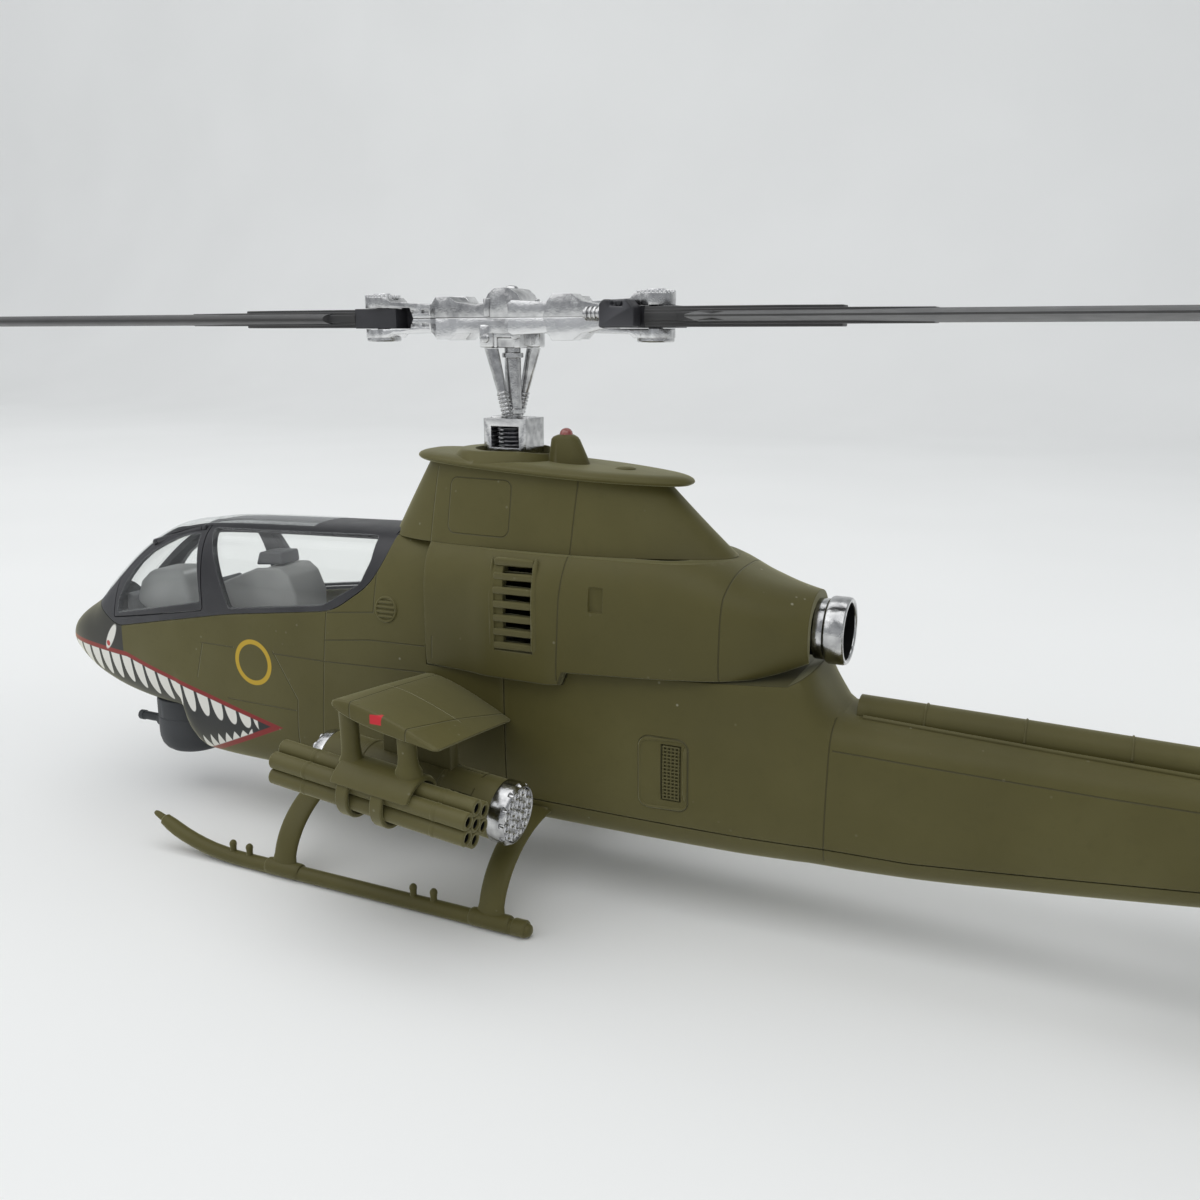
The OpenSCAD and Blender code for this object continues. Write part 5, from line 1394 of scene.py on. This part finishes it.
def blade():
    chord, lead, thick, tip = 14.2, 4.6, 1.7, 139.7
    rows = [(x, lead, chord, thick) for x in np.linspace(29.4, tip - 1.2, 24)]
    rows += [(tip - 0.5, lead - 0.05, chord - 0.1, thick * 0.96),
             (tip - 0.12, lead - 0.15, chord - 0.3, thick * 0.8),
             (tip, lead - 0.35, chord - 0.8, thick * 0.5)]
    parts = [skin([[(x, front - u * width, h * t * FOIL_DEPTH) for u, h in foil_loop(24)]
                   for x, front, width, t in rows])]
    plates = (([(25.5, 2.0), (25.5, -1.6), (21.4, -1.6), (21.4, -3.3), (26.0, -3.6), (32.5, -8.1), (36, 0),
                (32.5, 3.8)], 0.55, 0.12),
              ([(25.5, 1.9), (25.5, -1.6), (21.4, -1.6), (21.4, -3.2), (26, -3.4), (31, -4.2), (49, -4.2),
                (58, -2.2), (58, 1.2), (49, 2.4), (31, 2.6)], 0.95, 0.15),
              ([(25.5, 1.7), (25.5, -1.6), (21.4, -1.6), (21.4, -3.1), (31, -3.3), (41, -3.0), (47, -1.6),
                (47, 1.0), (41, 1.8), (31, 1.9)], 1.3, 0.15))
    for outline, half, edge in plates:
        parts.append(bevelled(prism(outline, -half, half, 2), edge, 2))
    tab = [(tip - 9.2, 0.2), (tip - 4.6, 0.2), (tip - 4.6, -0.6), (tip - 9.2, -0.6)]
    parts.append(bevelled(prism(tab, -0.9, 0.9, 2), 0.1, 1))
    return merge(*parts)


def make_blades():
    for maker, name, material, slot, *nodes in (
            (root_fitting, "blade_grips", "black", "black_paint", "blade_roots"),
            (root_spool, "grip_spools", "plated", "plated"),
            (blade, "main_blades", "blade", "blade_satin", "rotor_blades")):
        one = maker()
        other = moved(copy(one), Matrix.Rotation(pi, 4, "Z"))
        place(raised(merge(one, other), HUB_Z), name, "main_rotor", material, slot, *nodes)
    bolts = []
    for x in (-LUG_X, LUG_X):
        bolts += [rod((x, 0, HUB_Z - 2.7), (x, 0, HUB_Z + 3.1), BOLT_R, sides=40),
                  nut(x, 0, HUB_Z + 3.0, 1.4, 0.6), nut(x, 0, HUB_Z - 3.3, 1.4, 0.6),
                  rod((x, 0, HUB_Z + 3.2), (x, 0, HUB_Z + 3.6), 0.7, sides=28)]
    place(merge(*bolts), "blade_pins", "main_rotor", "rough_plated", "steel", "blade_bolts")


def make_tail_rotor():
    hub, tilt = Vector((169.7, -6.2, 60)), Matrix.Rotation(radians(18), 4, "Y")
    parts = []
    for turn in (0, pi):
        rings = []
        for z in list(np.linspace(3, 26.2, 14)) + [26.7, 27.0]:
            trim = 0.25 if z > 26.9 else (0.05 if z > 26.5 else 0)
            rings.append([(1.6 - trim - u * (4.5 - 2 * trim), h * 0.8 * FOIL_DEPTH * (1 - trim), z)
                          for u, h in foil_loop(12)])
        parts.append(moved(skin(rings), Matrix.Rotation(turn, 4, "Y")))
    parts.append(soft_block((-1.5, -0.8, -3.6), (1.5, 0.8, 3.6), 0.25))
    parts.append(rod((0, -0.75, 0), (0, -1.4, 0), 1.1, sides=32))
    for z in (-2.3, 2.3):
        parts.append(rod((0, -0.7, z), (0, -1.05, z), 0.45, sides=20))
    head = moved(merge(*parts), Matrix.Translation(hub) @ tilt)
    shaft = rod((hub.x, -7.6, hub.z), (hub.x, -1.4, hub.z), 0.9, sides=40)
    place(merge(head, shaft), "tail_rotor_blades", "tail_rotor_assembly", "blade", "blade_satin",
          "tail_rotor")
    box = [lathe([(2.6, 0.0), (2.6, 2.0), (2.4, 2.4), (1.9, 2.5), (1.9, 3.3), (1.7, 3.57)], (0, -1, 0),
                 (hub.x, -1.03, hub.z), 64)]
    cut(box[0], rod((hub.x, -6, hub.z), (hub.x, 0, hub.z), 0.95, sides=48, soft=SHARP))
    for a in spokes(6, 60, 20):
        x, z = hub.x + 2.15 * cos(a), hub.z + 2.15 * sin(a)
        box.append(rod((x, -3.3, z), (x, -3.65, z), 0.26, sides=16))
    place(merge(*box), "tail_gearbox_case", "airframe", "olive", "olive_plastic", "tail_gearbox")
    guard = merge(rod((147, 0, 19.6), (155.6, 0, 14.2), 0.62, 0.5), lathe(
        [(0.3, -0.85), (0.7, -0.55), (0.9, 0), (0.7, 0.55), (0.3, 0.85)], at=(155.6, 0, 14.2), sides=32))
    place(guard, "tail_guard", "airframe", "olive", "olive_plastic", "tail_skid")


# ---------------------------------------------------------------- stores
POD7_Y, POD7_MID, POD7_LONG = 31.0, (-4.0, 21.3), 30.3
POD19_Y, POD19_MID, POD19_LONG = 21.3, (-4.4, 18.8), 27.4
POD19_R, RING_R = 4.1, 4.3
SHROUD_R = 3.4
TUBE_PITCH = 2.2
POD_TILT = 6


def pod_axis(y, mid):
    """Turns a piece made along +z into a pod's place: +z becomes aft and slightly down."""
    return Matrix.Translation((mid[0], y, mid[1])) @ Matrix.Rotation(radians(90 + POD_TILT), 4, "Y")


def spots_round(radius, angles):
    """Points on a circle."""
    return [(radius * cos(a), radius * sin(a)) for a in angles]


def tube_spots():
    return [(0, 0)] + spots_round(TUBE_PITCH, spokes(6, 60))


def seven_tube_pod():
    half, outer, bore = POD7_LONG / 2, 1.15, 0.66
    parts = []
    for x, y in tube_spots():
        profile = [(bore, -half + 5), (bore, -half + 0.2), (bore + 0.08, -half), (outer - 0.12, -half),
                   (outer, -half + 0.15), (outer, half - 0.15), (outer - 0.12, half), (bore + 0.08, half),
                   (bore, half - 0.2), (bore, half - 5)]
        parts.append(lathe(profile, at=(x, y, 0), sides=40))
    parts.append(lathe([(1.9, -half + 0.9), (1.9, half - 0.9)], sides=48))
    band = [(outer, -0.3), (outer + 0.05, -0.2), (outer + 0.05, 0.2), (outer, 0.3)]
    for z in (-9.5, 10.5):
        parts += [lathe(band, at=(x, y, z), sides=32) for x, y in tube_spots()[1:]]
    return merge(*parts)


def tube_shade_linings():
    """Near-black linings just inside both ends of the seven launch tubes: painted shade for the inside of the
    bores.
    """
    half, bore = POD7_LONG / 2, 0.65
    parts = []
    for x, y in tube_spots():
        for end in (-1, 1):
            mouth, deep = end * (half - 0.25), end * (half - 4.8)
            cup = [(bore, deep), (bore, mouth), (bore - 0.05, mouth), (bore - 0.05, deep + end * 0.2)]
            parts.append(lathe(cup, at=(x, y, 0), sides=32))
    return merge(*parts)


def nineteen_tube_pod():
    half, r = POD19_LONG / 2, POD19_R
    body = lathe([(r - 0.1, -half), (r, -half + 0.1), (r, half - 0.1), (r - 0.1, half)], sides=112)
    marks = []
    for a in spokes(6, 60, 6):
        for wide, low in ((0.13, half - 6.2), (1.1, half - 3.2)):
            mark = block((r - 0.22, -wide, low), (r + 1, wide, half - 3.0))
            marks.append(moved(mark, Matrix.Rotation(a, 4, "Z")))
    cut(body, *marks)
    bands = [lathe([(r, z - 0.35), (r + 0.1, z - 0.25), (r + 0.1, z + 0.25), (r, z + 0.35)], sides=96)
             for z in (-7.5, 5.4)]
    return merge(body, *bands)


def pod_rings():
    half = POD19_LONG / 2
    rear = lathe([(r, half + h) for r, h in (
        (RING_R - 0.05, 0), (RING_R, 0.12), (RING_R, 1.6), (4.22, 2.0), (4.05, 2.35), (3.9, 2.45),
        (3.74, 2.38), (3.68, 2.1))], sides=120)
    notches = [moved(rod((RING_R, 0, half + 1.8), (RING_R, 0, half + 3.4), 0.38, sides=24),
                     Matrix.Rotation(a, 4, "Z")) for a in spokes(12, 30)]
    cut(rear, *notches)
    front = lathe([(3.4, -half - 1.8), (3.8, -half - 1.6), (4.0, -half - 1.1), (POD19_R, -half)], sides=96)
    return rear, front


def pod_faces():
    """The cast end faces: nineteen tube mouths in a rough, pitted plate."""
    half = POD19_LONG / 2
    spots = [(0, 0)] + spots_round(1.55, spokes(6, 60)) + spots_round(3.05, spokes(12, 30, 15))
    parts = [lathe([(3.7, half + 1.4), (3.7, half + 2.1), (2.0, half + 2.16), (0.4, half + 2.18)], sides=72)]
    for x, y in spots:
        mouth = [(0.28, 0.0), (0.32, 0.3), (0.5, 0.42), (0.66, 0.28), (0.68, 0.0)]
        parts.append(lathe(mouth, at=(x, y, half + 2.06), sides=24))
    for _ in range(70):
        a, r = random.uniform(0, 2 * pi), 3.6 * sqrt(random.random())
        s = random.uniform(0.1, 0.24)
        grain = [(s, 0), (s * 0.8, s * 0.7), (s * 0.3, s)]
        parts.append(lathe(grain, at=(r * cos(a), r * sin(a), half + 2.12), sides=10))
    for x, y in spots:
        rim = [(0.5, 0.0), (0.55, -0.25), (0.42, -0.34), (0.3, -0.1)]
        parts.append(lathe(rim, at=(x, y, -half - 1.75), sides=24))
    return merge(*parts)


def pod_mount():
    outer = SHROUD_R + 0.7
    place7, place19 = pod_axis(POD7_Y, POD7_MID), pod_axis(POD19_Y, POD19_MID)
    cover = lathe([(outer - 0.25, -4.7), (outer, -4.3), (outer, 6.6), (outer - 0.25, 7.0)], sides=112)
    cut(cover, block((-1.6, -8, -10), (8.4, 8, 20)))
    band = SHROUD_R + 0.5
    straps = [lathe([(band - 0.15, z), (band, z + 0.15), (band, z + 1.65), (band - 0.15, z + 1.8)], sides=96)
              for z in (-3.6, 1.7)]
    body = moved(cover, place7)
    fuse(body, *[moved(s, place7) for s in straps])
    struts = []
    for x in (-7.8, 1.0):
        rings = []
        for z, r in ((22.0, 1.7), (25.2, 1.6), (25.9, 1.28), (27.0, 1.15), (33.0, 1.15)):
            rings.append([(x + 0.4 * (33 - z) / 11 + r * 1.12 * cos(a), POD7_Y + r * sin(a), z)
                          for a in round_angles(40)])
        struts.append(skin(rings))
    pylon = bevelled(side([(-9, 17), (-9, 31.4), (2, 28.4), (2, 17)], POD19_Y - 1.1, POD19_Y + 1.1), 0.3, 3)
    fuse(body, *struts, pylon)
    bores = [moved(turned_cylinder(0, 0, -20, 20, SHROUD_R, 96), place7),
             moved(turned_cylinder(0, 0, -20, 20, POD19_R, 96), place19)]
    cut(body, *bores, side([(-12, 32.6), (-12, 50), (12, 50), (12, 27.6), (4, 29.6), (-4, 31.6)], 12, 40))
    return body


def make_stores():
    place7, place19 = pod_axis(POD7_Y, POD7_MID), pod_axis(POD19_Y, POD19_MID)
    for sign, word in SIDES:
        for piece, name, material, slot, *nodes in (
                (moved(seven_tube_pod(), place7), "tube_cluster_", "olive", "olive_plastic",
                 "seven_tube_pod_"),
                (moved(nineteen_tube_pod(), place19), "round_pod_", "olive", "olive_plastic",
                 "nineteen_tube_pod_"),
                (moved(merge(*pod_rings()), place19), "round_pod_rings_", "plated", "plated",
                 "nineteen_pod_rings_"),
                (pod_mount(), "pod_carrier_", "olive", "olive_plastic", "pod_mount_"),
                (moved(pod_faces(), place19), "round_pod_faces_", "rough_plated", "plated"),
                # near-black linings inside the launch tubes: painted shade
                (moved(tube_shade_linings(), place7), "tube_depths_", "soot", "black_paint")):
            place(on_side(piece, sign), name + word, "airframe", material, slot, *[n + word for n in nodes])


# ---------------------------------------------------------------- landing gear
SKID_Y = 22.3


def skid():
    path = [(-53.6, 5.55), (-53.2, 5.4), (-52.6, 5.15), (-51.9, 4.85), (-51.6, 4.7), (-50.4, 4.1),
            (-49.0, 3.45), (-47.6, 2.9), (-45.8, 2.35), (-44, 1.9), (-42, 1.52), (-40, 1.3), (-38, 1.15)]
    path += [(x, 1.1) for x in (-36, -30, -20, -8, 4, 12.4, 13.2, 13.7, 13.9)]
    radii = [0.3, 0.45, 0.5, 0.55, 0.9, 1.05] + [1.1] * 13 + [1.0, 0.75, 0.4]
    parts = [tube_along([(x, SKID_Y, z) for x, z in path], radii, 40)]
    for x in (-37.9, -34.7, -5.0, -1.6):
        peg = [(0.62, 0), (0.5, 0.35), (0.46, 1.0), (0.5, 1.5), (0.56, 1.8), (0.5, 2.1), (0.3, 2.35),
               (0.1, 2.45)]
        parts.append(lathe(peg, at=(x, SKID_Y, 1.5), sides=28))
    for x in (FRONT_LEG_X, REAR_LEG_X):
        parts.append(tube_along([(x + d, SKID_Y, 1.28) for d in (-3.1, -2.9, -2.5, 2.5, 2.9, 3.1)],
                                [1.1, 1.22, 1.27, 1.27, 1.22, 1.1], 40))
    parts.append(tube_along([(x, SKID_Y, 1.22) for x in (11.2, 11.4, 13.0, 13.2)], [1.1, 1.2, 1.2, 1.05], 40))
    return merge(*parts)


def cross_tube(x):
    """The flattened bow that carries both skids, and its middle bar through the fuselage."""
    rings = []
    for k in range(31):
        t = radians(90 * k / 30)
        y = 8.4 + (SKID_Y - 8.4) * sin(t)
        z = 12 - (12 - 1.2) * (1 - cos(t))
        half = 2.1 - 0.2 * k / 30 + 0.5 * max(0, k - 26) / 4
        rings.append([(x + half * cos(a), y + 0.75 * sin(a) * sin(t),
                       z + 0.75 * sin(a) * cos(t)) for a in round_angles(40)])
    leg = skin(rings)
    return merge(leg, on_side(copy(leg), -1), soft_block((x - 1.8, -9, 11.3), (x + 1.8, 9, 12.7), 0.2))


def make_gear():
    for sign, word in SIDES:
        place(on_side(skid(), sign), "skid_tube_" + word, "airframe", "olive", "olive_plastic",
              "skid_" + word)
    for x, word in ((FRONT_LEG_X, "front"), (REAR_LEG_X, "rear")):
        place(cross_tube(x), "leg_pair_" + word, "airframe", "olive", "olive_plastic", "cross_tube_" + word)


# ---------------------------------------------------------------- turret, cockpit and exhaust
def make_turret():
    house = lathe([(2.0, 7.2), (3.6, 7.22), (4.6, 7.5), (5.3, 8.0), (5.85, 8.8), (6.15, 9.9), (6.2, 10.8),
                   (6.2, 13.6), (6.12, 13.7), (6.12, 13.8), (6.2, 13.9), (6.2, 16.5), (6.1, 17.0),
                   (5.8, 17.2), (2.0, 17.2), (2.0, 20.6)], at=(TURRET_X, 0, 0), sides=128)
    cut(house, *[rod((TURRET_X - 9, y, GUN_Z), (TURRET_X - 3, y, GUN_Z), 1.35, sides=48)
                 for y in (-2.6, 2.6)])
    place(house, "turret_shell", "turret", "turret", "black_paint", "turret_housing")
    guns = []
    for y, reach, r in ((2.6, 9.6, 1.0), (-2.6, 10.6, 0.75)):
        guns.append(rod((TURRET_X - 5.6, y, GUN_Z), (TURRET_X - 3, y, GUN_Z), 1.3, sides=40))
        muzzle = [(r, 0), (r, reach - 4.2), (r + 0.12, reach - 4.1), (r + 0.12, reach - 3.2),
                  (r * 0.86, reach - 3.0), (r * 0.5, reach - 3.05), (r * 0.5, reach - 4.4)]
        guns.append(lathe(muzzle, (-1, 0, 0), (TURRET_X - 3, y, GUN_Z), 40))
    place(merge(*guns), "turret_barrels", "turret", "turret", "black_paint", "turret_guns")
    place(from_cad("turret_clip", 0.1), "turret_spring_clip", "turret", "steel", "steel", "turret_clip")


def make_cockpit():
    for node, name, material, slot, edge, segments in (
            ("cockpit_tub", "cockpit_floor", "tub", "cockpit_gray", 0.25, 2),
            ("gunner_console", "panel_front", "tub", "cockpit_gray", 0.4, 4),
            ("pilot_console", "panel_rear", "tub", "cockpit_gray", 0.35, 4),
            ("gunner_seat", "seat_front", "gunner", "seat_gray", 1.1, 6),
            ("pilot_seat", "seat_rear", "seat", "seat_gray", 0.55, 4),
            ("pilot_headrest", "headrest_rear", "headrest", "cockpit_gray", 0.35, 4),
            ("control_sticks", "hand_levers", "seat", "seat_gray", 0.05, 1)):
        place(from_cad(node, edge, segments), name, "airframe", material, slot, node)


def make_exhaust():
    x0, z = 45.4, 41.4
    ring = lathe([(3.6, 0), (4.0, 0), (4.05, 0.15), (4.05, 1.35), (4.15, 1.5), (4.38, 1.66), (4.5, 1.95),
                  (4.5, 3.7), (4.42, 4.05), (4.25, 4.2), (3.95, 4.2), (3.78, 4.05), (3.7, 3.7), (3.7, 2.0),
                  (3.6, 1.9)], (1, 0, 0), (x0, 0, z), 128)
    cut(ring, rod((x0 - 2, 0, z), (x0 + 6, 0, z), 3.6, sides=128, soft=SHARP))
    place(ring, "exhaust_rim", "airframe", "plated", "plated", "exhaust_ring")
    # a near-black lining over the plated rim's inner face: painted shade inside the exhaust
    liner = lathe([(3.69, 1.95), (3.69, 3.75), (3.74, 3.95)], (1, 0, 0), (x0, 0, z), 96)
    cut(liner, rod((x0, 0, z), (x0 + 6, 0, z), 3.6, sides=96, soft=SHARP))
    place(liner, "exhaust_shade_lining", "airframe", "soot", "black_paint")
    # duct, cone and vanes in near-black: painted shade deep inside the exhaust
    pipe = rod((30, 0, z), (x0 + 1.9, 0, z), 3.6, sides=96)
    cut(pipe, rod((31, 0, z), (60, 0, z), 3.25, sides=96, soft=SHARP))
    cone = lathe([(1.5, 0), (1.5, 6), (1.25, 9), (0.8, 11.0), (0.3, 11.9)], (1, 0, 0), (31.5, 0, z), 48)
    vanes = [moved(soft_block((36, 1.2, -0.18), (40, 3.3, 0.18), 0.06, 1),
                   Matrix.Translation((0, 0, z)) @ Matrix.Rotation(a, 4, "X")) for a in spokes(5, 72)]
    place(merge(pipe, cone, *vanes), "exhaust_duct", "airframe", "soot", "black_paint", "exhaust_pipe")


for make in (make_front, make_canopy, make_boom, make_cowl, make_fairing, make_wings, make_fin,
             make_rotor_head, make_blades, make_tail_rotor, make_stores, make_gear, make_turret,
             make_cockpit, make_exhaust):
    make()


# ---------------------------------------------------------------- carried-over CAD nodes
for node, name in (("mast_bearing", "bronze"), ("nose_weight", "ballast"), ("case_screws", "steel")):
    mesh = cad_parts[node].data
    mesh.materials.clear()
    mesh.materials.append(MATERIAL[name])


# ---------------------------------------------------------------- floor, light and camera
def make_stage():
    width, depth, rise, bend = 3.0, 0.75, 1.6, 0.35
    profile = [(-2.0, 0.0), (depth, 0.0)]
    profile += [(depth + bend * sin(a), bend - bend * cos(a)) for a in
                (radians(7.5 * k) for k in range(1, 13))]
    profile.append((depth + bend, rise))
    points = [(x, y, z - 0.00002) for x in (-width, width) for y, z in profile]
    n = len(profile)
    sweep = mesh_object(points, [(k, k + 1, n + k + 1, n + k) for k in range(n - 1)], "backdrop")
    p = Paint("backdrop_paper")
    p.colour(p.ramp(p.noise(160, 2.0), (0.35, (0.86, 0.865, 0.855)), (0.7, (0.885, 0.89, 0.88))))
    p.roughness(p.noise(30) * 0.1 + 0.62)
    p.set(Specular_IOR_Level=0.25)
    sweep.data.materials.append(p.material)
    shade(sweep, 60)


def area_light(name, at, target, size, watts):
    lamp = bpy.data.lights.new(name, "AREA")
    lamp.shape = "RECTANGLE"
    lamp.size, lamp.size_y = size
    lamp.energy = watts
    obj = bpy.data.objects.new(name, lamp)
    bpy.context.scene.collection.objects.link(obj)
    obj.location = at
    obj.rotation_euler = (Vector(target) - Vector(at)).to_track_quat("-Z", "Y").to_euler()


def make_lights():
    world = bpy.data.worlds.new("studio")
    world.use_nodes = True
    bpy.context.scene.world = world
    background = world.node_tree.nodes["Background"]
    background.inputs[0].default_value = (0.93, 0.96, 1.0, 1)
    background.inputs[1].default_value = 0.46
    area_light("overhead", (-0.05, -0.15, 0.85), (0.0, 0.0, 0.0), (1.8, 1.2), 7.6)
    area_light("front_left", (-0.55, -0.6, 0.5), (-0.02, 0, 0.04), (0.5, 0.5), 0.6)
    area_light("paper_wash", (-1.7, 0.2, 0.9), (-1.7, 1.1, 0.35), (1.6, 0.4), 3.0)


# solved from the photo: place in millimetres from the mast, degrees, and millimetres on a 36 mm sensor
CAMERA_AT = (79.04, -140.29, 78.98)
CAMERA_TURN, CAMERA_PITCH = 25.0, 13.44
CAMERA_LENS = 33.27


def make_camera():
    camera = bpy.data.objects.new("camera", bpy.data.cameras.new("camera"))
    bpy.context.scene.collection.objects.link(camera)
    bpy.context.scene.camera = camera
    camera.data.sensor_width = 36
    camera.data.lens = CAMERA_LENS
    camera.data.clip_start = 0.005
    turn, pitch = radians(CAMERA_TURN), radians(CAMERA_PITCH)
    forward = Vector((-sin(turn) * cos(pitch), cos(turn) * cos(pitch), -sin(pitch)))
    right = Vector((cos(turn), sin(turn), 0))
    up = right.cross(forward)
    turned = Matrix((right, up, -forward)).transposed().to_4x4()
    camera.matrix_world = Matrix.Translation(TO_ROW @ Vector(CAMERA_AT)) @ turned


make_stage()
make_lights()
make_camera()
bpy.context.scene.view_settings.view_transform = "Standard"
